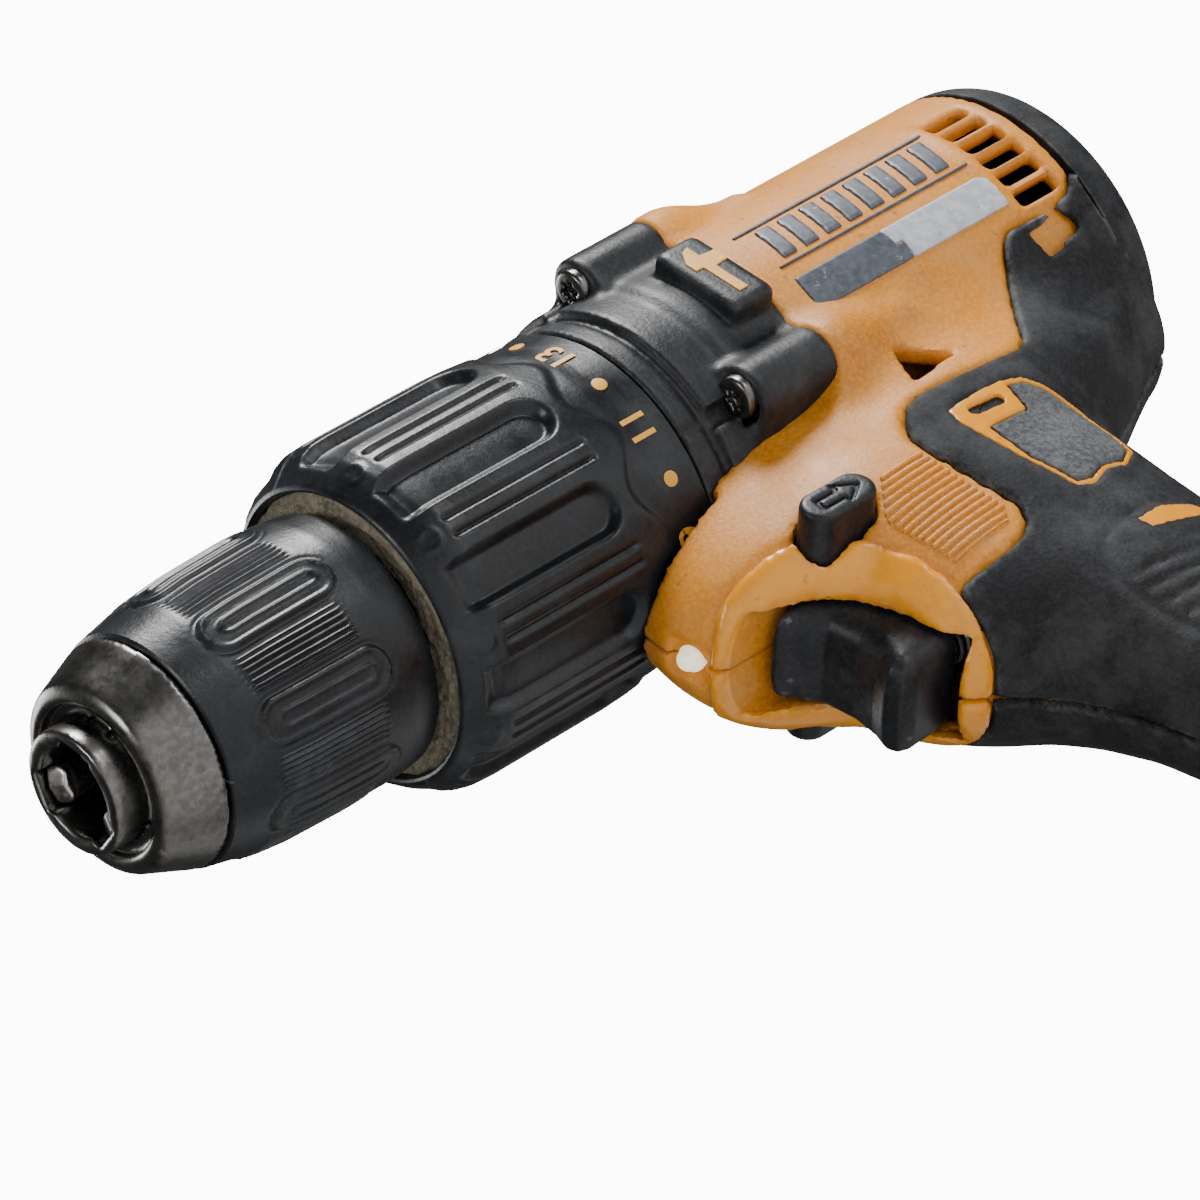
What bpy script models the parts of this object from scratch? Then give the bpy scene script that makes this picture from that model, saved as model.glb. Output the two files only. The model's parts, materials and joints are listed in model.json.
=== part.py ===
"""Compact cordless hammer drill with its battery pack, built as an assembly.

Frame: metres, +Z up, the chuck points along -Y, the tool's left side is +X.
The origin is the centre of the battery pack's flat base.
Lengths along the tool are written as distances behind the front rim of the clutch
collar ("station"), and heights as distances above the spindle axis ("level").
"""

import math

import bmesh
import bpy
from mathutils import Matrix, Vector

MM = 0.001

# ---- driving dimensions, in millimetres ----
AXIS_HEIGHT = 170.0          # spindle axis above the battery's base
COLLAR_FRONT = -92.0         # Y of the clutch collar's front rim
GAP = 0.3                    # between faces that touch on the real tool
RUN = 0.4                    # running clearance, radial

BARREL_R = 27.6              # motor barrel outside
BARREL_FRONT = 73.5          # stations
BARREL_REAR = 128.0
WALL = 2.4                   # clamshell wall
CAP_REAR = 140.0             # rear end of the tool
CAP_OVERLAP = 1.8            # how far the rear cap's spigot reaches into the barrel

HOLLOW_WALL = WALL + 0.2
SPLIT = 0.15                 # half the gap at the parting line
BITE = 0.5                   # how far joined shapes run into each other

CASE_R = 25.6                # gear case barrel outside
CASE_WALL = 2.0
CASE_FRONT = 48.0
CASE_NOSE_R = 16.5
CASE_NOSE_FRONT = 6.0
BOSS_X = 22.0                # gear case screw bosses, from the axis
BOSS_Z = 16.5
BOSS_R = 5.2
BOSS_FRONT = 58.0
SCREW_R = 1.6
SCREW_HEAD_R = 3.3
SCREW_HEAD = 2.6
SCREW_LENGTH = 24.0
PLATE_HALF = 8.8             # mode badge on the gear case's left side
PLATE_TOP_X = 29.6
PLATE_REAR = 73.0
PLATE_LENGTH = 8.2

COLLAR_RIM_R = 22.6
COLLAR_R = 26.2
COLLAR_BAND_R = 25.4
COLLAR_LENGTH = 47.2
COLLAR_HUB_R = CASE_NOSE_R + 4.0

CHUCK_TIP = 51.1             # in front of the collar rim
CHUCK_MOUTH_R = 6.65
CHUCK_RING_R = 9.5
CHUCK_NOSE_R = 14.3
CHUCK_NOSE_LENGTH = 4.3
CHUCK_GROOVE_R = 17.6
CHUCK_GROOVE = 37.9
CHUCK_SLEEVE_R = 19.6
CHUCK_REAR_R = 18.2
CHUCK_REAR = 1.0
CHUCK_CORE_R = 14.2
JAW_ROOM_R = 16.6            # inside the sleeve, round the jaws' rear ends
JAW_R = 3.0
JAW_TILT = math.radians(14.0)
JAW_LENGTH = 22.0
JAW_TIP = 49.5               # jaw tips, in front of the collar rim
JAW_OPEN_R = 4.3             # from the axis to a jaw's gripping face
JAW_RETRACT = 4.5            # room behind a jaw
JAW_ADVANCE = 12.5           # room in front of a jaw
SPINDLE_R = 6.0
BEARING_R = 13.0
BEARING_WIDTH = 8.0

MODULE = 0.9
SUN_TEETH = 12
PLANET_TEETH = 18
RING_TEETH = SUN_TEETH + 2 * PLANET_TEETH
PLANETS = 3
GEAR_WIDTH = 5.0
PIN_R = 1.8
CARRIER_R = 17.6
CARRIER_WIDTH = 2.0
FIRST_STAGE = 66.0           # station of the first stage's planets
SECOND_STAGE = 56.0

MOTOR_FRONT = 76.5
STATOR_R = 23.0
STATOR_LENGTH = 26.0
ROTOR_R = 11.5
SHAFT_R = 2.5
SHAFT_REAR = 122.0
MOTOR_BEARING_R = 8.0
MOTOR_BEARING_WIDTH = 5.0
FAN_R = 21.0
FAN_WIDTH = 7.0

TRIGGER_HALF = 8.6
TRIGGER_TRAVEL = 7.0
TRIGGER_REAR = 56.5
TRIGGER_STEM_LEVEL = -55.0
LEVER_STATION = 52.6
LEVER_LEVEL = -41.4
LEVER_LENGTH = 12.6
LEVER_HEIGHT = 6.4
LEVER_TRAVEL = 4.4
LEVER_BAR_LEVEL = -41.2      # underside of the bar that passes over the trigger
LEVER_LEFT_X = 22.3
LEVER_RIGHT_X = 17.9
SELECTOR_STATION = 88.0
SELECTOR_LENGTH = 12.0
SELECTOR_HALF = 7.0
SELECTOR_TRAVEL = 7.0

SKIN = 1.5                   # thickness of the soft grip
FOOT_BOTTOM = -131.0
PACK_TOP = -131.6            # level of the pack's shoulder, under the foot
PACK_HALF = 37.5
PACK_FRONT = 36.0
PACK_REAR = 148.0
PACK_SPLIT = -146.0
PACK_WALL = 2.2
TOWER_HALF = 17.0            # raised part of the pack, which slides into the foot
TOWER_HEIGHT = 4.6
TOWER_FRONT = 59.0
TOWER_REAR = 134.0
CELL_R = 9.1
CELL_LENGTH = 65.0
CELL_COUNT = 5

# Horizontal sections of the body under the barrel:
# level, front station, rear station, half width, squareness of the front half
BODY_SECTIONS = [
    (-14.0, 44.0, 132.0, 16.0, 2.2),
    (-20.0, 33.6, 137.0, 18.6, 2.0),
    (-26.0, 30.4, 135.0, 20.0, 2.0),
    (-32.0, 30.0, 128.0, 20.5, 2.1),
    (-37.0, 31.2, 118.5, 20.6, 2.2),
    (-41.0, 34.2, 110.5, 20.5, 2.2),
    (-44.0, 39.6, 106.5, 20.2, 2.2),
    (-48.0, 46.2, 104.8, 19.4, 2.4),
    (-54.0, 49.0, 104.0, 18.6, 2.6),
    (-60.0, 50.6, 105.0, 17.2, 2.4),
    (-66.0, 53.6, 106.3, 16.2, 2.1),
    (-71.0, 59.8, 107.4, 15.7, 2.0),
    (-77.0, 65.0, 108.8, 15.4, 2.0),
    (-85.0, 69.4, 110.6, 15.3, 2.0),
    (-96.0, 72.4, 112.8, 15.6, 2.0),
    (-107.0, 73.6, 115.2, 16.8, 2.1),
    (-114.0, 72.0, 118.0, 20.0, 2.4),
]
FOOT_SQUARE = 4.0
FOOT_SECTIONS = [
    (-110.0, 74.0, 115.0, 16.0, FOOT_SQUARE),
    (-116.5, 67.0, 128.0, 27.0, FOOT_SQUARE),
    (-121.5, 59.0, 143.0, 33.5, FOOT_SQUARE),
    (FOOT_BOTTOM, 56.0, 147.0, 35.0, FOOT_SQUARE),
]
SECTION_POINTS = 28
GRIP_TOP = -38.0
GRIP_BOTTOM = -107.5

COLOURS = {
    "yellow": ((0.80, 0.42, 0.03), 0.50, 0.0),
    "black": ((0.028, 0.029, 0.032), 0.62, 0.0),
    "rubber": ((0.022, 0.023, 0.026), 0.75, 0.0),
    "steel": ((0.55, 0.54, 0.52), 0.32, 1.0),
    "dark_steel": ((0.20, 0.20, 0.20), 0.40, 1.0),
    "copper": ((0.72, 0.36, 0.18), 0.40, 1.0),
    "board": ((0.02, 0.16, 0.07), 0.55, 0.0),
    "lens": ((0.90, 0.92, 0.95), 0.10, 0.0),
    "cell": ((0.07, 0.24, 0.42), 0.40, 0.0),
}


def clear_scene():
    for existing in list(bpy.data.objects):
        bpy.data.objects.remove(existing)


def collection(name):
    made = bpy.data.collections.new(name)
    bpy.context.scene.collection.children.link(made)
    return made


clear_scene()
TOOL = collection("cordless_drill")
CUTTERS = collection("cutters")


def material(name):
    found = bpy.data.materials.get(name)
    if found:
        return found
    colour, roughness, metallic = COLOURS[name]
    made = bpy.data.materials.new(name)
    made.use_nodes = True
    shader = made.node_tree.nodes["Principled BSDF"]
    shader.inputs["Base Color"].default_value = (*colour, 1.0)
    shader.inputs["Roughness"].default_value = roughness
    shader.inputs["Metallic"].default_value = metallic
    return made


def place(station, level=0.0, x=0.0):
    """World position, in metres, of a point given by station and level in millimetres."""
    return Vector((x, COLLAR_FRONT + station, AXIS_HEIGHT + level)) * MM


# Local Z along the tool's axis, towards the rear; local X stays X, local Y is down.
ALONG_AXIS = Matrix(((1, 0, 0), (0, 0, 1), (0, -1, 0)))
# Local X along the tool, local Y up, local Z towards the left side.
SIDE_VIEW = Matrix(((0, 0, 1), (1, 0, 0), (0, 1, 0)))


def add(name, mesh, finish, group=None):
    made = bpy.data.objects.new(name, mesh)
    (group or TOOL).objects.link(made)
    if finish:
        mesh.materials.append(material(finish))
    if group is CUTTERS:
        made.hide_render = True
        made.display_type = "WIRE"
    return made


def settle(obj):
    """Replaces the object's mesh by its evaluated mesh, welded, with no modifiers left."""
    bpy.context.view_layer.update()
    graph = bpy.context.evaluated_depsgraph_get()
    mesh = bpy.data.meshes.new_from_object(obj.evaluated_get(graph))
    work = bmesh.new()
    work.from_mesh(mesh)
    bmesh.ops.remove_doubles(work, verts=work.verts, dist=0.000002)
    work.to_mesh(mesh)
    work.free()
    if obj.type == "MESH":
        obj.modifiers.clear()
        obj.data = mesh
        return obj
    group = obj.users_collection[0]
    solid = bpy.data.objects.new(obj.name, mesh)
    solid.matrix_world = obj.matrix_world
    solid.hide_render = obj.hide_render
    solid.display_type = obj.display_type
    name = obj.name
    bpy.data.objects.remove(obj)
    group.objects.link(solid)
    solid.name = name
    return solid


def turned(name, profile, finish, group=None, steps=30, axial=ALONG_AXIS, at=None):
    """A solid of revolution. The profile is a list of (radius, station) points, in millimetres:
    closed off the axis, or open with both ends on it."""
    pairs = list(zip(profile, profile[1:] + profile[:1]))
    area = sum(a[0] * b[1] - b[0] * a[1] for a, b in pairs)
    if area > 0:
        profile = profile[::-1]
    for i, (first, second) in enumerate(zip(profile, profile[1:])):
        if first[0] == second[0] == 0.0:
            profile = profile[i + 1:] + profile[:i + 1]
            break
    open_ends = profile[0][0] == profile[-1][0] == 0.0
    edges = [(i, i + 1) for i in range(len(profile) - 1)]
    if not open_ends:
        edges.append((len(profile) - 1, 0))
    mesh = bpy.data.meshes.new(name)
    mesh.from_pydata([(r * MM, 0, s * MM) for r, s in profile], edges, [])
    made = add(name, mesh, finish, group)
    screw = made.modifiers.new("turn", "SCREW")
    screw.steps = steps
    screw.render_steps = steps
    screw.use_merge_vertices = True
    screw.merge_threshold = 0.00001
    made.matrix_world = axial.to_4x4()
    made.location = place(0.0) if at is None else at
    return settle(made)


def ring_profile(outer, inner, front, rear):
    return [(outer, front), (outer, rear), (inner, rear), (inner, front)]


def solid_profile(radius, front, rear):
    return [(0.0, front), (radius, front), (radius, rear), (0.0, rear)]


def extruded(name, loops, half, finish, group=None, turn=SIDE_VIEW, at=None, bevel=0.0, steps=1):
    """A flat outline, in millimetres, extruded by half each way. Further loops are holes."""
    curve = bpy.data.curves.new(name, "CURVE")
    curve.dimensions = "2D"
    curve.fill_mode = "BOTH"
    curve.extrude = half * MM
    for loop in loops:
        spline = curve.splines.new("POLY")
        spline.points.add(len(loop) - 1)
        for point, (a, b) in zip(spline.points, loop):
            point.co = (a * MM, b * MM, 0.0, 1.0)
        spline.use_cyclic_u = True
    made = bpy.data.objects.new(name, curve)
    (group or TOOL).objects.link(made)
    if group is CUTTERS:
        made.hide_render = True
        made.display_type = "WIRE"
    made.matrix_world = turn.to_4x4()
    made.location = place(0.0) if at is None else at
    solid = settle(made)
    if finish:
        solid.data.materials.append(material(finish))
    if bevel:
        soften(solid, bevel, steps)
    return solid


def soften(obj, width, steps=1, angle=35.0):
    edge = obj.modifiers.new("rounded_edges", "BEVEL")
    edge.width = width * MM
    edge.segments = steps
    edge.limit_method = "ANGLE"
    edge.angle_limit = math.radians(angle)
    return settle(obj)


def block(name, low, high, finish, group=None, bevel=0.0):
    """A box from its two corners, each (x, station, level)."""
    mesh = bpy.data.meshes.new(name)
    work = bmesh.new()
    bmesh.ops.create_cube(work, size=1.0)
    sizes = [(h - l) * MM for l, h in zip(low, high)]
    bmesh.ops.scale(work, vec=sizes, verts=work.verts)
    work.to_mesh(mesh)
    work.free()
    made = add(name, mesh, finish, group)
    middle = [(l + h) / 2 for l, h in zip(low, high)]
    made.location = place(middle[1], middle[2], middle[0])
    return soften(made, bevel) if bevel else made


def rounded_section(level, front, rear, half, front_power, inset, rear_power):
    """Points of a horizontal section, in world metres: two half superellipses, back to back."""
    middle, reach = (front + rear) / 2, (rear - front) / 2 - inset
    points = []
    for i in range(SECTION_POINTS):
        t = 2 * math.pi * i / SECTION_POINTS
        c, s = math.cos(t), math.sin(t)
        power = front_power if s < 0 else rear_power
        x = (half - inset) * math.copysign(abs(c) ** (2 / power), c)
        y = middle + reach * math.copysign(abs(s) ** (2 / power), s)
        points.append(place(y, level, x))
    return points


def lofted(name, sections, finish, group=None, inset=0.0, rear_power=2.5):
    """A closed loft through horizontal sections, listed from the top down."""
    mesh = bpy.data.meshes.new(name)
    work = bmesh.new()
    rings = []
    for section in sections:
        ring = rounded_section(*section, inset, rear_power)
        rings.append([work.verts.new(point) for point in ring])
    count = SECTION_POINTS
    for upper, lower in zip(rings, rings[1:]):
        for i in range(count):
            j = (i + 1) % count
            work.faces.new((upper[i], lower[i], lower[j], upper[j]))
    work.faces.new(rings[0])
    work.faces.new(rings[-1][::-1])
    bmesh.ops.recalc_face_normals(work, faces=work.faces)
    bmesh.ops.triangulate(work, faces=work.faces)
    work.to_mesh(mesh)
    work.free()
    return add(name, mesh, finish, group)


def combine(obj, other, operation, keep=False):
    change = obj.modifiers.new(operation.lower(), "BOOLEAN")
    change.operation = operation
    change.object = other
    change.solver = "EXACT"
    settle(obj)
    if not keep:
        bpy.data.objects.remove(other)
    return obj


def cut(obj, *cutters, keep=False):
    for cutter in cutters:
        combine(obj, cutter, "DIFFERENCE", keep)
    return obj


def join(obj, *others):
    for other in others:
        combine(obj, other, "UNION")
    return obj


def helper_cylinder(name, radius, length, at, direction, steps=20, finish=None, group=CUTTERS):
    """A plain cylinder centred at a world point, along a direction."""
    mesh = bpy.data.meshes.new(name)
    work = bmesh.new()
    bmesh.ops.create_cone(
        work, cap_ends=True, segments=steps,
        radius1=radius * MM, radius2=radius * MM, depth=length * MM,
    )
    work.to_mesh(mesh)
    work.free()
    made = add(name, mesh, finish, group)
    made.matrix_world = (
        Matrix.Translation(at) @ Vector(direction).to_track_quat("Z", "Y").to_matrix().to_4x4()
    )
    return made


# ---------------------------------------------------------------- clamshell
TRIGGER_SLOT = [(20.0, -40.4), (65.0, -40.4), (64.6, -50.0), (64.0, -62.5), (56.0, -64.6), (20.0, -72.0)]


def body_form(name, inset, group):
    """Barrel, lower body, handle and foot in one solid, shrunk by inset."""
    form = turned(
        name,
        solid_profile(BARREL_R - inset, BARREL_FRONT + (-3.0 if inset else 0.0), BARREL_REAR + (3.0 if inset else 0.0)),
        "yellow" if group is None else None, group, steps=36,
    )
    under = lofted("under", BODY_SECTIONS, None, CUTTERS, inset and inset + SKIN)
    foot_sections = FOOT_SECTIONS
    if inset:
        foot_sections = FOOT_SECTIONS[:-1] + [(FOOT_BOTTOM - 2.0, *FOOT_SECTIONS[-1][1:])]
    foot = lofted("foot", foot_sections, None, CUTTERS, inset, rear_power=FOOT_SQUARE)
    join(form, under, foot)
    return form


def grip_core_cut():
    """What the soft grip takes away from the handle: a sleeve from the form's surface inwards."""
    outer = lofted("core_cut", grip_sections(), None, CUTTERS, -1.0)
    inner = lofted("core_keep", grip_sections(4.0), None, CUTTERS, SKIN + GAP)
    cut(outer, inner)
    combine(outer, grip_region("core_region", 0.0), "INTERSECT")
    return outer


def grip_sections(over=0.0):
    inside = [s for s in BODY_SECTIONS if GRIP_BOTTOM - 2.0 <= s[0] <= GRIP_TOP + 2.0]
    top, bottom = inside[0], inside[-1]
    first = (top[0] + over, *top[1:])
    last = (bottom[0] - over, *bottom[1:])
    return [first, *inside[1:-1], last]


def grip_region(name, inset):
    """Side outline of the soft grip: behind the grip line, down to the foot."""
    line = [
        (160.0, GRIP_TOP - inset), (72.0, GRIP_TOP - inset), (68.0 + inset, -41.5), (70.0 + inset, -59.0),
        (52.0 + inset, -71.0 - inset), (52.0 + inset, GRIP_BOTTOM + inset), (160.0, GRIP_BOTTOM + inset),
    ]
    return extruded(name, [line], 60.0, None, CUTTERS)


def half_space(name, side):
    """A big box on one side of the parting plane."""
    near, far = sorted((side * SPLIT, side * 90.0))
    return block(name, (near, -120.0, -190.0), (far, 220.0, 80.0), None, CUTTERS)


def openings_cut(name):
    """Trigger opening, lever slots, selector slot, windows and vents, as one list of cutters."""
    half_width = TRIGGER_HALF + 0.7
    slot = extruded(name + "_trigger", [TRIGGER_SLOT], half_width, None, CUTTERS)
    lever = block(
        name + "_lever",
        (-60.0, LEVER_STATION - LEVER_LENGTH / 2 - RUN, LEVER_LEVEL - LEVER_HEIGHT / 2 - RUN),
        (60.0, LEVER_STATION + LEVER_LENGTH / 2 + RUN, LEVER_LEVEL + LEVER_HEIGHT / 2 + RUN),
        None, CUTTERS,
    )
    selector = block(
        name + "_selector",
        (-SELECTOR_HALF - RUN, SELECTOR_STATION - RUN, 15.0),
        (SELECTOR_HALF + RUN, SELECTOR_STATION + SELECTOR_LENGTH + SELECTOR_TRAVEL + RUN, 40.0),
        None, CUTTERS,
    )
    mouth = block(
        name + "_pack", (-TOWER_HALF - RUN, PACK_FRONT, FOOT_BOTTOM - 5.0),
        (TOWER_HALF + RUN, TOWER_FRONT + 23.0, PACK_TOP + TOWER_HEIGHT + RUN), None, CUTTERS,
    )
    return [slot, lever, selector, mouth]


VENT_FRONT = 118.4
VENT_LENGTH = 7.6
VENT_WIDTH = 3.0
VENT_PITCH = 10.5            # degrees round the barrel
VENT_COUNT = 6
VENT_MIDDLE = -2.2           # degrees above the spindle's level


def about_axis(obj, angle):
    """Turns a piece about the spindle axis, from the top towards the left side."""
    bpy.context.view_layer.update()
    centre = Matrix.Translation(place(0.0))
    obj.matrix_world = centre @ Matrix.Rotation(angle, 4, "Y") @ centre.inverted() @ obj.matrix_world


def vent_cutters(name):
    """Slots through the barrel's two sides, round the motor's fan."""
    made = []
    for side in (-1, 1):
        for i in range(VENT_COUNT):
            lift = VENT_MIDDLE + (i - (VENT_COUNT - 1) / 2) * VENT_PITCH
            slot = block(
                f"{name}_{side}_{i}", (-VENT_WIDTH / 2, VENT_FRONT, FAN_R + 1.0),
                (VENT_WIDTH / 2, VENT_FRONT + VENT_LENGTH, BARREL_R + 4.0), None, CUTTERS,
            )
            about_axis(slot, side * math.radians(90.0 - lift))
            made.append(slot)
    return made


def make_housing():
    form = body_form("housing", 0.0, None)
    hollow = body_form("hollow", HOLLOW_WALL, CUTTERS)
    cut(form, hollow)
    cut(form, turned("mouth", solid_profile(CASE_R + GAP, 20.0, BARREL_FRONT + 0.5), None, CUTTERS, steps=36))
    cut(form, turned("front_mouth", solid_profile(COLLAR_R + 0.7, -20.0, CASE_FRONT + 0.5), None, CUTTERS, steps=36))
    cut(form, grip_core_cut())
    cut(form, *openings_cut("opening"), *vent_cutters("vent"))
    for sx in (-1, 1):
        for sz in (-1, 1):
            boss = helper_cylinder(
                "screw_post", BOSS_R, 14.0, place(BARREL_FRONT + 6.9, sz * BOSS_Z, sx * BOSS_X), (0, 1, 0), 16,
            )
            room_r = BARREL_R - HOLLOW_WALL + 2 * BITE
            room = turned("motor_room", solid_profile(room_r, 60.0, 110.0), None, CUTTERS, steps=36)
            cut(boss, room)
            join(form, boss)
            cut(form, helper_cylinder(
                "screw_hole", SCREW_R + GAP, 40.0, place(BARREL_FRONT + 7.0, sz * BOSS_Z, sx * BOSS_X), (0, 1, 0), 12,
            ))
    left = form
    right = bpy.data.objects.new("housing_right", form.data.copy())
    TOOL.objects.link(right)
    right.matrix_world = form.matrix_world
    left.name = "housing_left"
    combine(left, half_space("left_side", 1), "INTERSECT")
    combine(right, half_space("right_side", -1), "INTERSECT")


def make_grip():
    for side, name in ((1, "grip_left"), (-1, "grip_right")):
        skin = lofted(name, grip_sections(), "rubber")
        inner = lofted("grip_inner", grip_sections(4.0), None, CUTTERS, SKIN)
        cut(skin, inner)
        combine(skin, grip_region("region", GAP), "INTERSECT")
        combine(skin, half_space("side", side), "INTERSECT")


def dome(radius, front, rear, count=7):
    """Half an ellipse, from the rim to the axis, as profile points."""
    points = []
    for i in range(count + 1):
        t = math.pi / 2 * i / count
        points.append((radius * math.cos(t) if i < count else 0.0, front + (rear - front) * math.sin(t)))
    return points


def make_rear_cap():
    """A domed cup over the barrel's rear end, with a spigot inside the barrel."""
    edge = BARREL_R
    inside = edge - HOLLOW_WALL - WALL
    profile = [
        *dome(edge, BARREL_REAR + GAP, CAP_REAR), *reversed(dome(inside, BARREL_REAR + GAP, CAP_REAR - WALL)),
        (inside, BARREL_REAR - CAP_OVERLAP), (edge - HOLLOW_WALL - GAP, BARREL_REAR - CAP_OVERLAP),
        (edge - HOLLOW_WALL - GAP, BARREL_REAR + GAP),
    ]
    cap = turned("rear_cap", profile, "rubber", steps=36)
    lower = lofted("body_behind", BODY_SECTIONS, None, CUTTERS, -GAP)
    cut(cap, lower)


def make_gear_case():
    profile = [
        (CASE_R, CASE_FRONT + 3.0), (CASE_R, BARREL_FRONT - 0.5), (CASE_R, BARREL_FRONT + 0.2),
        (CASE_R - CASE_WALL, BARREL_FRONT + 0.2), (CASE_R - CASE_WALL, CASE_FRONT + 3.5),
        (BEARING_R + GAP, CASE_FRONT + 1.0), (BEARING_R + GAP, CASE_NOSE_FRONT + 2.0),
        (SPINDLE_R + 1.5, CASE_NOSE_FRONT + 2.0), (SPINDLE_R + 1.5, CASE_NOSE_FRONT),
        (CASE_NOSE_R, CASE_NOSE_FRONT), (CASE_NOSE_R, CASE_FRONT - 1.0), (CASE_R - 2.6, CASE_FRONT + GAP),
    ]
    case = turned("gear_case", profile, "black", steps=36)
    boss_rear = BARREL_FRONT - 2 * GAP
    for sx in (-1, 1):
        for sz in (-1, 1):
            boss = helper_cylinder(
                "boss", BOSS_R, boss_rear - BOSS_FRONT,
                place((boss_rear + BOSS_FRONT) / 2, sz * BOSS_Z, sx * BOSS_X), (0, 1, 0), 16,
            )
            room_r = CASE_R - CASE_WALL + BITE
            cut(boss, turned("gear_room", solid_profile(room_r, 40.0, 90.0), None, CUTTERS, steps=36))
            join(case, boss)
            cut(case, helper_cylinder(
                "screw_way", SCREW_R + GAP, 60.0, place(BOSS_FRONT, sz * BOSS_Z, sx * BOSS_X), (0, 1, 0), 12,
            ))
            cut(case, helper_cylinder(
                "head_seat", SCREW_HEAD_R + GAP, 2 * (SCREW_HEAD - 0.6),
                place(BOSS_FRONT, sz * BOSS_Z, sx * BOSS_X), (0, 1, 0), 16,
            ))
    plate = block(
        "badge", (CASE_R - 1.5, PLATE_REAR - PLATE_LENGTH, -PLATE_HALF), (PLATE_TOP_X, PLATE_REAR, PLATE_HALF),
        None, CUTTERS, bevel=1.0,
    )
    join(case, plate)
    below = lofted("body_below", BODY_SECTIONS, None, CUTTERS, -GAP)
    keep = turned("case_keep", solid_profile(CASE_R - 0.05, 0.0, BARREL_FRONT + 1.0), None, CUTTERS, steps=36)
    cut(below, keep)
    cut(case, below)


def make_case_screws():
    number = 0
    for sx in (1, -1):
        for sz in (1, -1):
            number += 1
            at = place(BOSS_FRONT + SCREW_HEAD - 0.6 - GAP, sz * BOSS_Z, sx * BOSS_X)
            profile = [
                (0.0, -SCREW_HEAD + 1.4), (1.2, -SCREW_HEAD + 1.4), (1.4, -SCREW_HEAD),
                (SCREW_HEAD_R - 0.4, -SCREW_HEAD), (SCREW_HEAD_R, -SCREW_HEAD + 0.5), (SCREW_HEAD_R, 0.0),
                (SCREW_R, 0.0), (SCREW_R, SCREW_LENGTH - 2.0), (0.0, SCREW_LENGTH),
            ]
            turned(f"gear_case_screw_{number}", profile, "dark_steel", steps=12, at=at)


HOUSING_SCREWS = [(46.0, -29.5), (98.0, -41.0), (80.0, -76.5), (99.0, -104.0), (82.0, -118.0)]


def make_housing_screws():
    """Screws from the right side across the parting plane."""
    sideways = Matrix(((0, 0, -1), (0, 1, 0), (1, 0, 0)))
    for number, (station, level) in enumerate(HOUSING_SCREWS, 1):
        profile = [(0.0, -8.0), (3.2, -8.0), (3.2, -5.6), (1.5, -5.6), (1.5, 7.0), (0.0, 8.0)]
        turned(f"housing_screw_{number}", profile, "dark_steel", steps=10, axial=sideways, at=place(station, level))


# ---------------------------------------------------------------- clutch and chuck
def make_collar():
    lobes = 12
    outer = [
        (COLLAR_RIM_R - 1.0, 0.0), (COLLAR_RIM_R, 0.4), (COLLAR_RIM_R + 1.6, 2.6), (COLLAR_R - 0.6, 6.0),
        (COLLAR_R, 9.0), (COLLAR_R, 31.0), (COLLAR_BAND_R, 36.0), (COLLAR_BAND_R - 0.4, COLLAR_LENGTH),
        (COLLAR_HUB_R + 1.0, COLLAR_LENGTH), (COLLAR_HUB_R + 1.0, 12.0), (CASE_NOSE_R + RUN, 12.0),
        (CASE_NOSE_R + RUN, 8.0), (COLLAR_RIM_R - 3.0, 5.0), (COLLAR_RIM_R - 1.0, 2.0),
    ]
    collar = turned("clutch_collar", outer, "black", steps=36)
    for i in range(lobes):
        angle = 2 * math.pi * (i + 0.5) / lobes
        at = place(14.0, (COLLAR_R + 1.9) * math.cos(angle), (COLLAR_R + 1.9) * math.sin(angle))
        cut(collar, helper_cylinder("lobe_cut", 3.4, 26.0, at, (0, 1, 0), 12))


def make_chuck():
    sleeve = [
        (CHUCK_GROOVE_R - 0.8, -CHUCK_GROOVE), (CHUCK_GROOVE_R, -CHUCK_GROOVE + 0.3),
        (CHUCK_SLEEVE_R - 0.4, -CHUCK_GROOVE + 7.0), (CHUCK_SLEEVE_R, -20.0), (CHUCK_SLEEVE_R, -9.0),
        (CHUCK_REAR_R, -CHUCK_REAR), (CHUCK_CORE_R + RUN, -CHUCK_REAR), (CHUCK_CORE_R + RUN, -8.0),
        (JAW_ROOM_R, -8.0), (JAW_ROOM_R, -33.0), (CHUCK_CORE_R - 1.2, -36.0), (CHUCK_CORE_R - 1.2, -CHUCK_GROOVE),
    ]
    turned("chuck_sleeve", sleeve, "rubber", steps=30)
    core = [
        (CHUCK_MOUTH_R, -CHUCK_TIP), (CHUCK_RING_R - 0.5, -CHUCK_TIP), (CHUCK_RING_R, -CHUCK_TIP + 0.5),
        (CHUCK_RING_R, -CHUCK_TIP + CHUCK_NOSE_LENGTH), (CHUCK_NOSE_R - 0.8, -CHUCK_TIP + CHUCK_NOSE_LENGTH),
        (CHUCK_NOSE_R, -CHUCK_TIP + CHUCK_NOSE_LENGTH + 0.8), (CHUCK_GROOVE_R - 0.6, -CHUCK_GROOVE - 0.5),
        (CHUCK_CORE_R - 1.6, -CHUCK_GROOVE - 0.5), (CHUCK_CORE_R - 1.6, -31.0), (CHUCK_CORE_R, -29.6),
        (CHUCK_CORE_R, 2.0), (SPINDLE_R + GAP, 2.0), (SPINDLE_R + GAP, -14.0), (CHUCK_MOUTH_R, -18.0),
    ]
    body = turned("chuck_body", core, "steel", steps=30)
    jaws = make_jaws()
    for jaw_way in jaws:
        cut(body, jaw_way)
    screw = [(0.0, -16.6), (4.2, -16.6), (4.2, -14.6), (2.4, -14.6), (2.4, -4.0), (0.0, -4.0)]
    turned("chuck_screw", screw, "dark_steel", steps=16)


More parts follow.
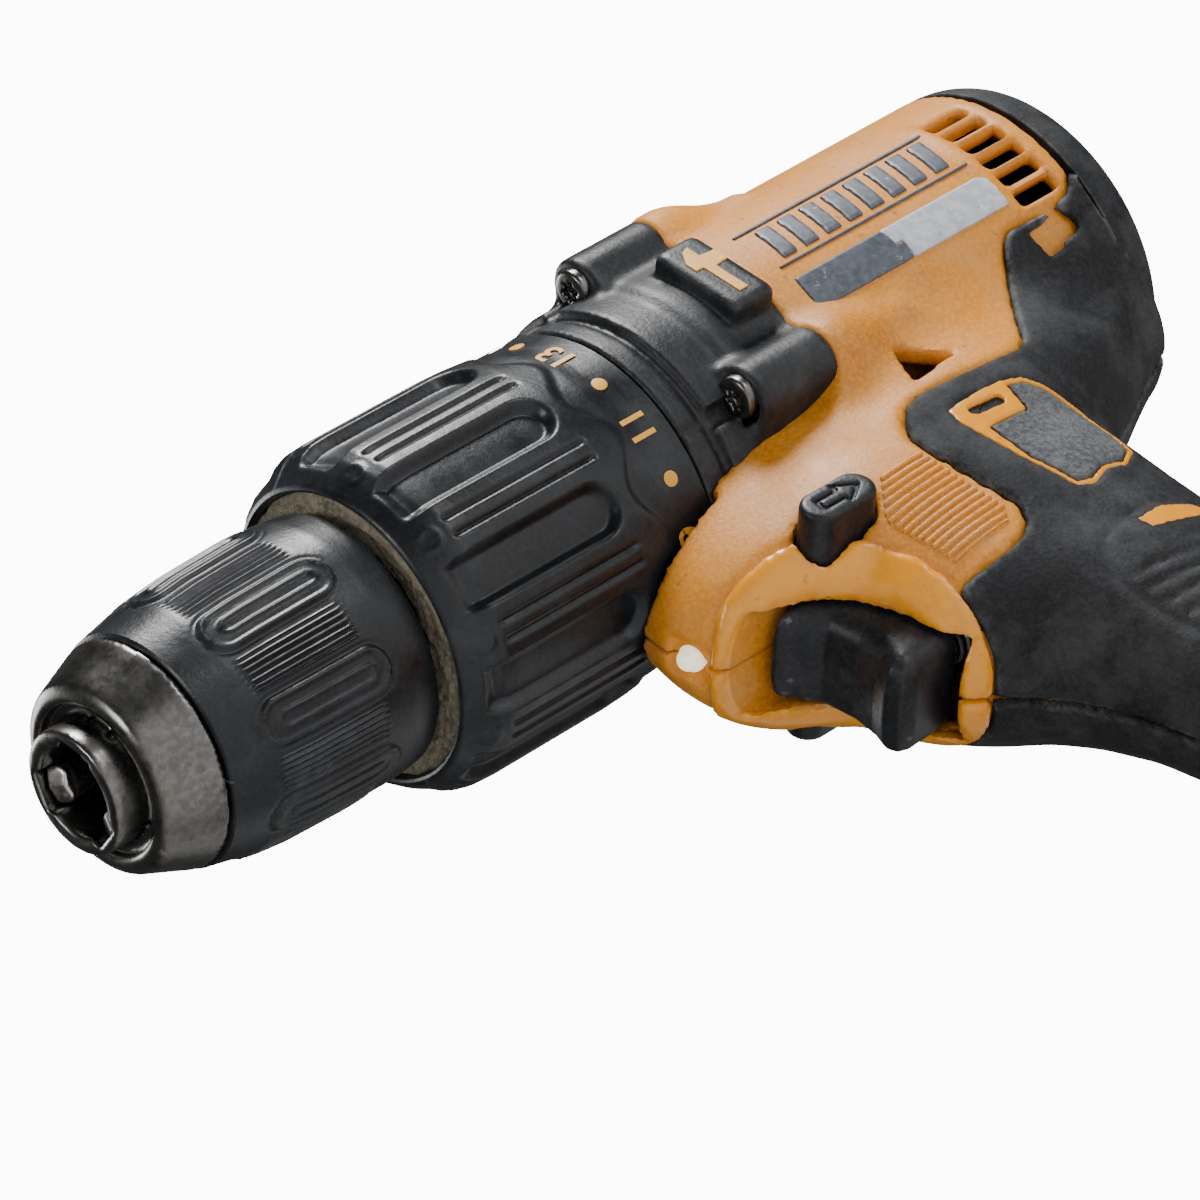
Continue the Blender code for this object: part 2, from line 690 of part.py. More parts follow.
def jaw_line(angle):
    """Unit vector along which a jaw moves to close, and the point of its axis at its tip."""
    inward = Vector((-math.sin(angle), 0.0, -math.cos(angle)))
    forward = Vector((0.0, -1.0, 0.0))
    direction = forward * math.cos(JAW_TILT) + inward * math.sin(JAW_TILT)
    centre_r = JAW_OPEN_R + JAW_R * 0.62
    tip = place(-JAW_TIP, centre_r * math.cos(angle), centre_r * math.sin(angle))
    return direction, tip


def make_jaws():
    ways = []
    for i in range(3):
        angle = 2 * math.pi * i / 3 + math.radians(90.0)
        direction, tip = jaw_line(angle)
        jaw = helper_cylinder(
            f"chuck_jaw_{i + 1}", JAW_R, JAW_LENGTH, tip - direction * JAW_LENGTH / 2 * MM, direction, 16,
            "dark_steel", TOOL,
        )
        flat = block("jaw_flat", (-6.0, -80.0, -JAW_OPEN_R - 8.0), (6.0, 20.0, JAW_OPEN_R), None, CUTTERS)
        about_axis(flat, angle)
        cut(jaw, flat)
        front = block("jaw_front", (-40.0, -90.0, -40.0), (40.0, -JAW_TIP, 40.0), None, CUTTERS)
        cut(jaw, front)
        way_length = JAW_LENGTH + JAW_RETRACT + JAW_ADVANCE
        middle = tip - direction * (JAW_LENGTH + JAW_RETRACT - JAW_ADVANCE) / 2 * MM
        ways.append(helper_cylinder(f"jaw_way_{i}", JAW_R + RUN, way_length, middle, direction, 16))
    return ways


# ---------------------------------------------------------------- gears
def gear_outline(teeth, internal=False, thin=0.40):
    """Points of a gear with short straight-sided teeth; thin is a tooth's share of the pitch."""
    pitch_r = MODULE * teeth / 2
    head, foot = 0.62 * MODULE, 0.95 * MODULE
    step = 2 * math.pi / teeth
    wide, narrow = thin * step * 0.68, thin * step * 0.30
    inner, outer = (pitch_r - head, pitch_r + foot) if internal else (pitch_r - foot, pitch_r + head)
    points = []
    for i in range(teeth):
        middle = i * step
        root_r, tip_r = (outer, inner) if internal else (inner, outer)
        for radius, offset in ((root_r, -wide), (tip_r, -narrow), (tip_r, narrow), (root_r, wide)):
            points.append((radius * math.sin(middle + offset), -radius * math.cos(middle + offset)))
    return points


def circle(radius, count=12, phase=0.0):
    return [
        (radius * math.sin(2 * math.pi * i / count + phase), -radius * math.cos(2 * math.pi * i / count + phase))
        for i in range(count)
    ]


def gear(name, teeth, station, finish, bore=None, group=None, width=GEAR_WIDTH, internal_rim=None):
    if internal_rim:
        loops = [circle(internal_rim, 36), gear_outline(teeth, internal=True)]
    else:
        loops = [gear_outline(teeth)] + ([circle(bore)] if bore else [])
    return extruded(name, loops, width / 2, finish, group, turn=ALONG_AXIS, at=place(station))


def make_planets(stage, station):
    spread = MODULE * (SUN_TEETH + PLANET_TEETH) / 2
    half_pitch = math.pi / PLANET_TEETH
    for i in range(PLANETS):
        angle = 2 * math.pi * i / PLANETS
        name = f"{stage}_planet_{i + 1}"
        wheel = gear(name, PLANET_TEETH, station, "steel", bore=PIN_R + RUN)
        at = place(station, spread * math.cos(angle), spread * math.sin(angle))
        turn = Matrix.Rotation(angle + half_pitch, 4, "Y")
        wheel.matrix_world = Matrix.Translation(at) @ turn @ ALONG_AXIS.to_4x4()


def planet_pins(form, front, rear):
    """Joins the planets' pins onto a carrier, from inside its disc to the planets' rear faces."""
    spread = MODULE * (SUN_TEETH + PLANET_TEETH) / 2
    for i in range(PLANETS):
        angle = 2 * math.pi * i / PLANETS
        at = place((front + rear) / 2, spread * math.cos(angle), spread * math.sin(angle))
        join(form, helper_cylinder("pin", PIN_R, rear - front, at, (0, 1, 0), 16))


def make_gearbox():
    rim = CASE_R - CASE_WALL - GAP
    middle = (FIRST_STAGE + SECOND_STAGE) / 2
    gear("ring_gear", RING_TEETH, middle, "steel", width=FIRST_STAGE - SECOND_STAGE + GEAR_WIDTH, internal_rim=rim)
    make_planets("first", FIRST_STAGE)
    make_planets("second", SECOND_STAGE)
    disc_rear = FIRST_STAGE - GEAR_WIDTH / 2 - GAP
    disc_front = disc_rear - CARRIER_WIDTH
    carrier = turned("first_carrier", solid_profile(CARRIER_R, disc_front, disc_rear), "steel", steps=24)
    planet_pins(carrier, disc_rear - BITE, FIRST_STAGE + GEAR_WIDTH / 2)
    sun_front, sun_rear = SECOND_STAGE - GEAR_WIDTH / 2, disc_front + BITE
    join(carrier, gear(
        "sun_two", SUN_TEETH, (sun_front + sun_rear) / 2, None, group=CUTTERS, width=sun_rear - sun_front,
    ))
    front = SECOND_STAGE - GEAR_WIDTH / 2 - GAP
    profile = [
        (0.0, -2.0), (SPINDLE_R, -2.0), (SPINDLE_R, CASE_NOSE_FRONT + 20.0), (SPINDLE_R + 2.0, CASE_NOSE_FRONT + 22.0),
        (SPINDLE_R + 2.0, front - 4.0), (CARRIER_R - 4.0, front - CARRIER_WIDTH), (CARRIER_R, front - CARRIER_WIDTH),
        (CARRIER_R, front), (0.0, front),
    ]
    spindle = turned("spindle", profile, "steel", steps=24)
    planet_pins(spindle, front - BITE, SECOND_STAGE + GEAR_WIDTH / 2)
    bearing = ring_profile(BEARING_R, SPINDLE_R + GAP, CASE_NOSE_FRONT + 3.0, CASE_NOSE_FRONT + 3.0 + BEARING_WIDTH)
    turned("spindle_bearing", bearing, "steel", steps=24)
    fixed = ring_profile(BEARING_R - 0.2, SPINDLE_R + 2.0 + RUN, 30.0, 33.0)
    turned("ratchet_fixed", fixed, "steel", steps=24)
    moving = ring_profile(BEARING_R - 1.0, SPINDLE_R + 2.0 + 0.1, 34.0, 37.0)
    turned("ratchet_moving", moving, "steel", steps=24)


def make_spring(name, radius, wire, turns, start, end, finish="steel", along="axis", at=None):
    """A coil spring as a POLY curve with a round bevel."""
    per_turn = 12
    count = int(turns * per_turn) + 1
    curve = bpy.data.curves.new(name, "CURVE")
    curve.dimensions = "3D"
    curve.bevel_depth = wire * MM
    curve.bevel_resolution = 0
    curve.use_fill_caps = True
    spline = curve.splines.new("POLY")
    spline.points.add(count - 1)
    for i, point in enumerate(spline.points):
        angle = 2 * math.pi * i / per_turn
        travel = start + (end - start) * i / (count - 1)
        point.co = (radius * math.cos(angle) * MM, radius * math.sin(angle) * MM, travel * MM, 1.0)
    made = bpy.data.objects.new(name, curve)
    TOOL.objects.link(made)
    made.matrix_world = ALONG_AXIS.to_4x4()
    made.location = place(0.0) if at is None else at
    solid = settle(made)
    solid.data.materials.append(material(finish))
    return solid


# ---------------------------------------------------------------- motor
def make_motor():
    rear = MOTOR_FRONT + STATOR_LENGTH
    bore = ROTOR_R + 0.6
    stator = turned("motor_stator", ring_profile(STATOR_R, bore, MOTOR_FRONT, rear), "copper", steps=36)
    for i in range(6):
        angle = 2 * math.pi * (i + 0.5) / 6
        at = place((MOTOR_FRONT + rear) / 2, 16.0 * math.cos(angle), 16.0 * math.sin(angle))
        cut(stator, helper_cylinder("winding_slot", 3.2, STATOR_LENGTH + 4.0, at, (0, 1, 0), 12))
    sun_front, sun_rear = FIRST_STAGE - GEAR_WIDTH / 2, FIRST_STAGE + GEAR_WIDTH / 2 + BITE
    shaft = [
        (0.0, sun_front + 1.0), (SHAFT_R, sun_front + 1.0), (SHAFT_R, MOTOR_FRONT + 1.5), (ROTOR_R, MOTOR_FRONT + 1.5),
        (ROTOR_R, rear - 1.5), (SHAFT_R, rear - 1.5), (SHAFT_R, SHAFT_REAR), (0.0, SHAFT_REAR),
    ]
    rotor = turned("motor_rotor", shaft, "steel", steps=24)
    join(rotor, gear(
        "sun_one", SUN_TEETH, (sun_front + sun_rear) / 2, None, group=CUTTERS, width=sun_rear - sun_front,
    ))
    hub = rear + 1.5
    fan = turned("motor_fan", ring_profile(FAN_R, SHAFT_R + GAP, hub + FAN_WIDTH - 1.5, hub + FAN_WIDTH), "black", steps=24)
    for i in range(9):
        angle = 2 * math.pi * i / 9
        blade = block("blade", (-0.8, hub, 7.0), (0.8, hub + FAN_WIDTH - 1.0, FAN_R - 0.5), None, CUTTERS)
        about_axis(blade, angle)
        join(fan, blade)
    bearing = ring_profile(MOTOR_BEARING_R, SHAFT_R + GAP, SHAFT_REAR - 1.0 - MOTOR_BEARING_WIDTH, SHAFT_REAR - 1.0)
    turned("motor_bearing", bearing, "steel", steps=24)


# ---------------------------------------------------------------- controls
def make_trigger():
    top = LEVER_BAR_LEVEL - RUN - 0.2
    face = [
        (39.0, top), (42.6, -44.4), (45.2, -48.0), (45.8, -53.0), (45.2, -57.5),
        (43.8, -61.4), (46.0, -63.6), (TRIGGER_REAR, -61.5), (TRIGGER_REAR, top),
    ]
    trigger = extruded("trigger", [face], TRIGGER_HALF, "black", bevel=1.2, steps=2)
    stem = helper_cylinder("stem", 2.2, 12.0, place(TRIGGER_REAR + 3.5, TRIGGER_STEM_LEVEL), (0, 1, 0), 14)
    join(trigger, stem)
    front = TRIGGER_REAR + TRIGGER_TRAVEL + 1.2
    switch = block("trigger_switch", (-9.5, front, -66.0), (9.5, front + 26.0, -47.0), "black", bevel=0.8)
    way = place(front + 8.0, TRIGGER_STEM_LEVEL)
    cut(switch, helper_cylinder("stem_way", 2.2 + RUN, 24.0, way, (0, 1, 0), 14))
    spring_at = place(0.0, TRIGGER_STEM_LEVEL)
    make_spring("trigger_spring", 3.6, 0.35, 5, TRIGGER_REAR + 0.8, front - 0.8, at=spring_at)


def make_lever():
    """Forward and reverse button: a bar across the tool with a long rounded end on each side."""
    end = []
    radius = LEVER_HEIGHT / 2
    straight = LEVER_LENGTH / 2 - radius
    for side in (1, -1):
        for i in range(9):
            angle = -math.pi / 2 + math.pi * i / 8
            end.append((side * (straight + radius * math.cos(angle)), side * radius * math.sin(angle)))
    half = (LEVER_LEFT_X + LEVER_RIGHT_X) / 2
    middle = (LEVER_LEFT_X - LEVER_RIGHT_X) / 2
    lever = extruded("direction_lever", [end], half, "black", at=place(LEVER_STATION, LEVER_LEVEL, middle), bevel=0.7)
    clear = TRIGGER_HALF + LEVER_TRAVEL + 0.5
    cut(lever, block(
        "trigger_room", (-clear, LEVER_STATION - LEVER_LENGTH, LEVER_LEVEL - LEVER_HEIGHT),
        (clear, LEVER_STATION + LEVER_LENGTH, LEVER_BAR_LEVEL), None, CUTTERS,
    ))


def make_selector():
    """Speed selector: a ribbed slide on top of the barrel."""
    slide = block(
        "speed_selector", (-SELECTOR_HALF, SELECTOR_STATION, 25.4),
        (SELECTOR_HALF, SELECTOR_STATION + SELECTOR_LENGTH, BARREL_R + 1.8), "black", bevel=0.7,
    )
    for i in range(3):
        rib = block(
            "rib_gap", (-9.0, SELECTOR_STATION + 3.0 + i * 2.6, BARREL_R + 1.0),
            (9.0, SELECTOR_STATION + 4.2 + i * 2.6, BARREL_R + 4.0), None, CUTTERS,
        )
        cut(slide, rib)


def make_work_light():
    """Work light in the nose of the housing, under the collar."""
    nose = Vector((0.0, -1.0, -0.12)).normalized()
    at = place(30.4, -34.6)
    lens = helper_cylinder("work_light_lens", 3.0, 4.0, at, nose, 20, "lens", TOOL)
    board = block("work_light_board", (-4.0, 36.2, -36.4), (4.0, 37.6, -30.4), "board")
    for half in ("housing_left", "housing_right"):
        cut(bpy.data.objects[half], helper_cylinder("lens_hole", 3.0 + GAP, 9.0, at, nose, 20))
    return lens, board


# ---------------------------------------------------------------- electronics and battery
def make_electronics():
    block("control_board", (-14.0, 70.0, -126.5), (14.0, 126.0, -123.4), "board", bevel=0.4)
    terminals = block("terminal_block", (-13.0, 88.0, -138.0), (13.0, 120.0, -128.0), "black")
    for i in range(4):
        x = -9.0 + 6.0 * i
        cut(terminals, block("contact_gap", (x - 1.0, 82.0, -140.0), (x + 1.0, 112.0, -132.0), None, CUTTERS))


def pack_outline(inset=0.0):
    """Plan outline of the pack with cut corners, x against station."""
    half, front, rear, corner = PACK_HALF - inset, PACK_FRONT + inset, PACK_REAR - inset, 9.0
    right = [(half - corner, front), (half, front + corner), (half, rear - corner / 2), (half - corner / 2, rear)]
    return right + [(-x, s) for x, s in reversed(right)]


PLAN_VIEW = Matrix(((1, 0, 0), (0, 1, 0), (0, 0, 1)))


def pack_slab(name, low, high, inset, finish=None, group=CUTTERS, bevel=0.0):
    return extruded(
        name, [pack_outline(inset)], (high - low) / 2, finish, group, turn=PLAN_VIEW,
        at=place(0.0, (high + low) / 2), bevel=bevel,
    )


def make_battery():
    base = -AXIS_HEIGHT
    lower = pack_slab("battery_lower_case", base, PACK_SPLIT - GAP / 2, 0.0, "black", None, bevel=1.6)
    cut(lower, pack_slab("lower_room", base + PACK_WALL, PACK_SPLIT + 4.0, PACK_WALL))
    upper = pack_slab("battery_upper_case", PACK_SPLIT + GAP / 2, PACK_TOP, 0.0, "black", None, bevel=1.6)
    cut(upper, pack_slab("upper_room", PACK_SPLIT - 4.0, PACK_TOP - PACK_WALL, PACK_WALL))
    tower = block(
        "tower", (-TOWER_HALF, TOWER_FRONT, PACK_TOP - 1.0), (TOWER_HALF, TOWER_REAR, PACK_TOP + TOWER_HEIGHT),
        None, CUTTERS, bevel=0.8,
    )
    join(upper, tower)
    cut(upper, block("terminal_room", (-14.0, 80.0, -139.5), (14.0, PACK_REAR + 4.0, PACK_TOP + 8.0), None, CUTTERS))
    latch_room = ((-13.0, PACK_FRONT - 5.0, -144.0), (13.0, PACK_FRONT + 9.0, -134.5))
    cut(upper, block("latch_room", *latch_room, None, CUTTERS))
    block(
        "battery_latch", (-12.4, PACK_FRONT + 0.6, -143.2), (12.4, PACK_FRONT + 6.6, -135.3), "black", bevel=0.9,
    )
    make_spring("battery_latch_spring", 2.2, 0.3, 4, PACK_FRONT + 7.2, PACK_FRONT + 13.4, at=place(0.0, -139.2))
    first = (PACK_FRONT + PACK_REAR) / 2 - (CELL_COUNT - 1) / 2 * (2 * CELL_R + GAP)
    for i in range(CELL_COUNT):
        station = first + i * (2 * CELL_R + GAP)
        helper_cylinder(
            f"battery_cell_{i + 1}", CELL_R, CELL_LENGTH, place(station, base + PACK_WALL + CELL_R + 1.2), (1, 0, 0),
            20, "cell", TOOL,
        )
    block("battery_board", (-20.0, 62.0, -142.2), (20.0, 134.0, -140.6), "board")


make_housing()
make_grip()
make_rear_cap()
make_gear_case()
make_case_screws()
make_housing_screws()
make_collar()
make_chuck()
make_gearbox()
make_spring("clutch_spring", CASE_NOSE_R + 1.7, 0.9, 5, 14.0, 44.0)
make_motor()
make_trigger()
make_lever()
make_selector()
make_work_light()
make_electronics()
make_battery()
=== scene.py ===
import json

import bmesh
import bpy
import numpy as np
from mathutils import Matrix, Vector

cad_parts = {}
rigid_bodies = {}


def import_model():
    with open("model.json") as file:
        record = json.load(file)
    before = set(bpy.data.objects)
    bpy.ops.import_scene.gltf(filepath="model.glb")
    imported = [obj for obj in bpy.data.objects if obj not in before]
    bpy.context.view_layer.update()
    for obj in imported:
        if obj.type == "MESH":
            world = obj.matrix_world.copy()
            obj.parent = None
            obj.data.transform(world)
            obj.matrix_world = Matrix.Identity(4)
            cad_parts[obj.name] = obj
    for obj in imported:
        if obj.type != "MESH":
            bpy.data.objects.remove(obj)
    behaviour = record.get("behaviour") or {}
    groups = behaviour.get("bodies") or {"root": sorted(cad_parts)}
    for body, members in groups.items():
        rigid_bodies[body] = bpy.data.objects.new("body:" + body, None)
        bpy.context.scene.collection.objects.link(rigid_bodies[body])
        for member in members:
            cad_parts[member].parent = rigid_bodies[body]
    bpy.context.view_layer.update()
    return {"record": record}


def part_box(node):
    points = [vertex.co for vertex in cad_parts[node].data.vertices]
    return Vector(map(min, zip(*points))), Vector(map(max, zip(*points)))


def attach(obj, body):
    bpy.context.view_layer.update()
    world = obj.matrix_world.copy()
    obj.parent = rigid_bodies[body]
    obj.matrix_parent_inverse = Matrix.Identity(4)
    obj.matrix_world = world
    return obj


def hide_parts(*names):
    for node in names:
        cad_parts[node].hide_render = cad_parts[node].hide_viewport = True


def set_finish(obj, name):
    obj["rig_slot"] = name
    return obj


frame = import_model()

collarLow, collarHigh = (np.array(corner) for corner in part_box("clutch_collar"))
axisZ = (collarLow[2] + collarHigh[2]) / 2
rimY = collarLow[1]
bodyOrigin = np.array([0.0, rimY * 1000, axisZ * 1000])

# Every shape below is written in millimetres: x to the left, s behind the collar's front rim,
# l above the spindle axis. Angles run round the axis from the left side over the top.


def toWorld(points):
    return (np.asarray(points, float) + bodyOrigin) / 1000


def nodeBox(node):
    low, high = (np.array(corner) * 1000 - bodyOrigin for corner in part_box(node))
    return low, high


def makeMesh(name, points, *faceSets, smooth=38.0):
    loops = np.concatenate([faces.ravel() for faces in faceSets]).astype(np.int32)
    sizes = np.concatenate([np.full(len(faces), faces.shape[1]) for faces in faceSets])
    starts = np.concatenate([[0], np.cumsum(sizes)[:-1]]).astype(np.int32)
    mesh = bpy.data.meshes.new(name)
    mesh.vertices.add(len(points))
    mesh.vertices.foreach_set("co", toWorld(points).astype(np.float32).ravel())
    mesh.loops.add(len(loops))
    mesh.loops.foreach_set("vertex_index", loops)
    mesh.polygons.add(len(sizes))
    mesh.polygons.foreach_set("loop_start", starts)
    mesh.update(calc_edges=True)
    mesh.validate()
    mesh.shade_smooth()
    if smooth:
        mesh.set_sharp_from_angle(angle=np.radians(smooth))
    return mesh


def outward(points, *faceSets):
    # six times the volume, from each face fanned into triangles
    volume = 0.0
    for faces in faceSets:
        first = points[faces[:, 0]]
        for i in range(1, faces.shape[1] - 1):
            volume += np.einsum("ij,ij->", first, np.cross(points[faces[:, i]], points[faces[:, i + 1]]))
    return faceSets if volume > 0 else tuple(faces[:, ::-1] for faces in faceSets)


def addPiece(name, points, faceSets, material, body="tool_body", node=None, slot=None, smooth=38.0):
    points = np.asarray(points, float)
    piece = bpy.data.objects.new(name, makeMesh(name, points, *outward(points, *faceSets), smooth=smooth))
    piece.data.materials.append(material)
    bpy.context.scene.collection.objects.link(piece)
    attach(piece, body)
    if slot:
        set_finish(piece, slot)
    if node:
        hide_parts(*([node] if isinstance(node, str) else node))
    return piece


def roundFaces(rows, columns, closed):
    i = np.arange(rows if closed else rows - 1)[:, None]
    j = np.arange(columns)[None, :]
    below, beside = (i + 1) % rows, (j + 1) % columns
    corners = [i * columns + j, i * columns + beside, below * columns + beside, below * columns + j]
    return np.stack(corners, -1).reshape(-1, 4)


def ringPoints(radii, stations, columns):
    # rows of rings; radii and stations hold one value per row or one per point
    angles = around(columns)
    radii, stations = (np.broadcast_to(np.atleast_2d(v.T).T if v.ndim == 1 else v, (len(v), columns))
                       for v in (np.asarray(radii, float), np.asarray(stations, float)))
    return np.stack([radii * np.cos(angles), stations, radii * np.sin(angles)], -1).reshape(-1, 3)


def closedRing(radii, stations, columns):
    points = ringPoints(radii, stations, columns)
    return points, [roundFaces(len(points) // columns, columns, True)]


def rounded(profile, radius, steps=4):
    # a closed or open list of (radius, station) corners with each corner rounded by short arcs
    profile = np.asarray(profile, float)
    out = []
    count = len(profile)
    for i in range(count):
        before, here, after = profile[i - 1], profile[i], profile[(i + 1) % count]
        back, ahead = before - here, after - here
        lengths = np.hypot(*back), np.hypot(*ahead)
        reach = min(radius, 0.45 * min(lengths))
        first, last = here + back / lengths[0] * reach, here + ahead / lengths[1] * reach
        t = np.linspace(0, 1, steps + 1)[:, None]
        out.append((1 - t) ** 2 * first + 2 * t * (1 - t) * here + t * t * last)
    return np.concatenate(out)


def dense(profile, step):
    # extra points along long straight parts of a closed profile
    following = np.roll(profile, -1, 0)
    out = []
    for here, after in zip(profile, following):
        parts = max(1, int(np.ceil(np.hypot(*(after - here)) / step)))
        out.append(here + (after - here) * np.linspace(0, 1, parts, endpoint=False)[:, None])
    return np.concatenate(out)


def smoothStep(value, start, end):
    t = np.clip((value - start) / (end - start), 0.0, 1.0)
    return t * t * (3 - 2 * t)


def softMin(a, b, width):
    gap = np.maximum(width - np.abs(a - b), 0.0) / width
    return np.minimum(a, b) - gap * gap * width / 4


def softMax(a, b, width):
    return -softMin(-a, -b, width)


def crease(value, width):
    # one where the value is nought, falling away on both sides
    return np.exp(-(value / width) ** 2)


def fromLines(value, pitch):
    # distance to the nearest of evenly spaced lines
    return np.abs((value / pitch + 0.5) % 1.0 - 0.5) * pitch


def around(columns):
    return np.arange(columns) * 2 * np.pi / columns


def polygonField(outline, a, b):
    # signed distance to a flat outline, negative inside
    a, b = np.broadcast_arrays(np.asarray(a, float), np.asarray(b, float))
    best = np.full(a.shape, 1e9)
    inside = np.zeros(a.shape, bool)
    outline = np.asarray(outline, float)
    for (x0, y0), (x1, y1) in zip(outline, np.roll(outline, -1, 0)):
        dx, dy = x1 - x0, y1 - y0
        t = np.clip(((a - x0) * dx + (b - y0) * dy) / (dx * dx + dy * dy + 1e-12), 0, 1)
        best = np.minimum(best, (a - x0 - t * dx) ** 2 + (b - y0 - t * dy) ** 2)
        if y0 != y1:
            crosses = (y0 > b) != (y1 > b)
            inside ^= crosses & (a < (b - y0) * dx / dy + x0)
    return np.where(inside, -1.0, 1.0) * np.sqrt(best)


def lineField(path, a, b):
    # distance to an open flat path
    best = 1e9
    for (x0, y0), (x1, y1) in zip(path[:-1], path[1:]):
        dx, dy = x1 - x0, y1 - y0
        t = np.clip(((a - x0) * dx + (b - y0) * dy) / (dx * dx + dy * dy + 1e-12), 0, 1)
        best = np.minimum(best, (a - x0 - t * dx) ** 2 + (b - y0 - t * dy) ** 2)
    return np.sqrt(best)


def surfaceNet(field, origin, step):
    # one point in each cell that the surface crosses, one face for each grid edge that it crosses
    inside = field < 0
    shape = np.array(field.shape)
    count = np.zeros(shape - 1, np.int8)
    corners = [np.array((i, j, k)) for i in (0, 1) for j in (0, 1) for k in (0, 1)]
    for corner in corners:
        i, j, k = corner
        count += inside[i:shape[0] - 1 + i, j:shape[1] - 1 + j, k:shape[2] - 1 + k]
    active = (count > 0) & (count < 8)
    index = np.full(active.shape, -1, np.int32)
    cells = np.argwhere(active)
    index[tuple(cells.T)] = np.arange(len(cells))
    total = np.zeros((len(cells), 3))
    hits = np.zeros(len(cells))
    for first in corners:
        for axis in range(3):
            if first[axis]:
                continue
            second = first.copy()
            second[axis] = 1
            a, b = field[tuple((cells + first).T)], field[tuple((cells + second).T)]
            cross = (a < 0) != (b < 0)
            t = np.where(cross, a / np.where(cross, a - b, 1.0), 0.0)
            total += np.where(cross[:, None], first + t[:, None] * (second - first), 0.0)
            hits += cross
    points = np.asarray(origin) + (cells + total / hits[:, None]) * step
    quads = []
    for axis in range(3):
        u, v = [other for other in range(3) if other != axis]
        low = [slice(1, -1)] * 3
        high = [slice(1, -1)] * 3
        low[axis], high[axis] = slice(0, -1), slice(1, None)
        change = inside[tuple(low)] != inside[tuple(high)]
        at = np.argwhere(change)
        at[:, u] += 1
        at[:, v] += 1
        lower = inside[tuple(at.T)]
        ring = []
        for du, dv in ((-1, -1), (0, -1), (0, 0), (-1, 0)):
            cell = at.copy()
            cell[:, u] += du
            cell[:, v] += dv
            ring.append(index[tuple(cell.T)])
        faces = np.stack(ring, -1)
        turn = lower if axis != 1 else ~lower
        faces[~turn] = faces[~turn][:, ::-1]
        quads.append(faces)
    return points, np.concatenate(quads)


def gridIn(box, step):
    low, high = (np.array(corner, float) for corner in box)
    low = low - 1.5 * step
    counts = np.ceil((high + 1.5 * step - low) / step).astype(int) + 1
    axes = [low[i] + step * np.arange(counts[i]) for i in range(3)]
    return low, axes[0][:, None, None], axes[1][None, :, None], axes[2][None, None, :]


def trueDistance(values, step):
    slopes = np.gradient(values, step)
    return values / np.clip(np.sqrt(sum(slope * slope for slope in slopes)), 0.3, 3.0)


def closeEdges(values, step):
    for axis in range(3):
        edge = [slice(None)] * 3
        for end in (0, -1):
            edge[axis] = end
            values[tuple(edge)] = np.maximum(values[tuple(edge)], 0.3 * step)
    return values


def netPiece(name, field, box, step, material, **facts):
    origin, x, s, l = gridIn(box, step)
    values = field(x, s, l) * np.ones(np.broadcast_shapes(x.shape, s.shape, l.shape))
    points, faces = surfaceNet(closeEdges(values, step), origin, step)
    print(name, len(faces), "faces")
    return addPiece(name, points, [faces], material, **facts)


def flipBox(box):
    (x0, s0, l0), (x1, s1, l1) = box
    return (-x1, s0, l0), (-x0, s1, l1)


# Materials: each surface has grain in its bump and roughness, slow changes of colour, and wear.
def startMaterial(name):
    made = bpy.data.materials.new(name)
    made.use_nodes = True
    tree = made.node_tree
    return made, tree, tree.nodes["Principled BSDF"]


def noiseIn(tree, source, scale, detail=4.0, roughness=0.55, stretch=None):
    if stretch is not None:
        mapping = tree.nodes.new("ShaderNodeMapping")
        mapping.inputs["Scale"].default_value = stretch
        tree.links.new(source, mapping.inputs["Vector"])
        source = mapping.outputs["Vector"]
    noise = tree.nodes.new("ShaderNodeTexNoise")
    noise.inputs["Scale"].default_value = scale
    noise.inputs["Detail"].default_value = detail
    noise.inputs["Roughness"].default_value = roughness
    tree.links.new(source, noise.inputs["Vector"])
    return noise.outputs["Fac"]


def rampOf(tree, value, stops):
    ramp = tree.nodes.new("ShaderNodeValToRGB")
    points = ramp.color_ramp.elements
    while len(points) < len(stops):
        points.new(0.5)
    for point, (at, colour) in zip(points, stops):
        point.position = at
        point.color = (*colour, 1.0) if isinstance(colour, tuple) else (colour, colour, colour, 1.0)
    tree.links.new(value, ramp.inputs["Fac"])
    return ramp.outputs["Color"]


def mixOf(tree, factor, first, second, kind="MIX"):
    mix = tree.nodes.new("ShaderNodeMix")
    mix.data_type = "RGBA"
    mix.blend_type = kind
    tree.links.new(factor, mix.inputs["Factor"])
    for socket, value in ((mix.inputs["A"], first), (mix.inputs["B"], second)):
        if isinstance(value, tuple):
            socket.default_value = (*value, 1.0)
        else:
            tree.links.new(value, socket)
    return mix.outputs["Result"]


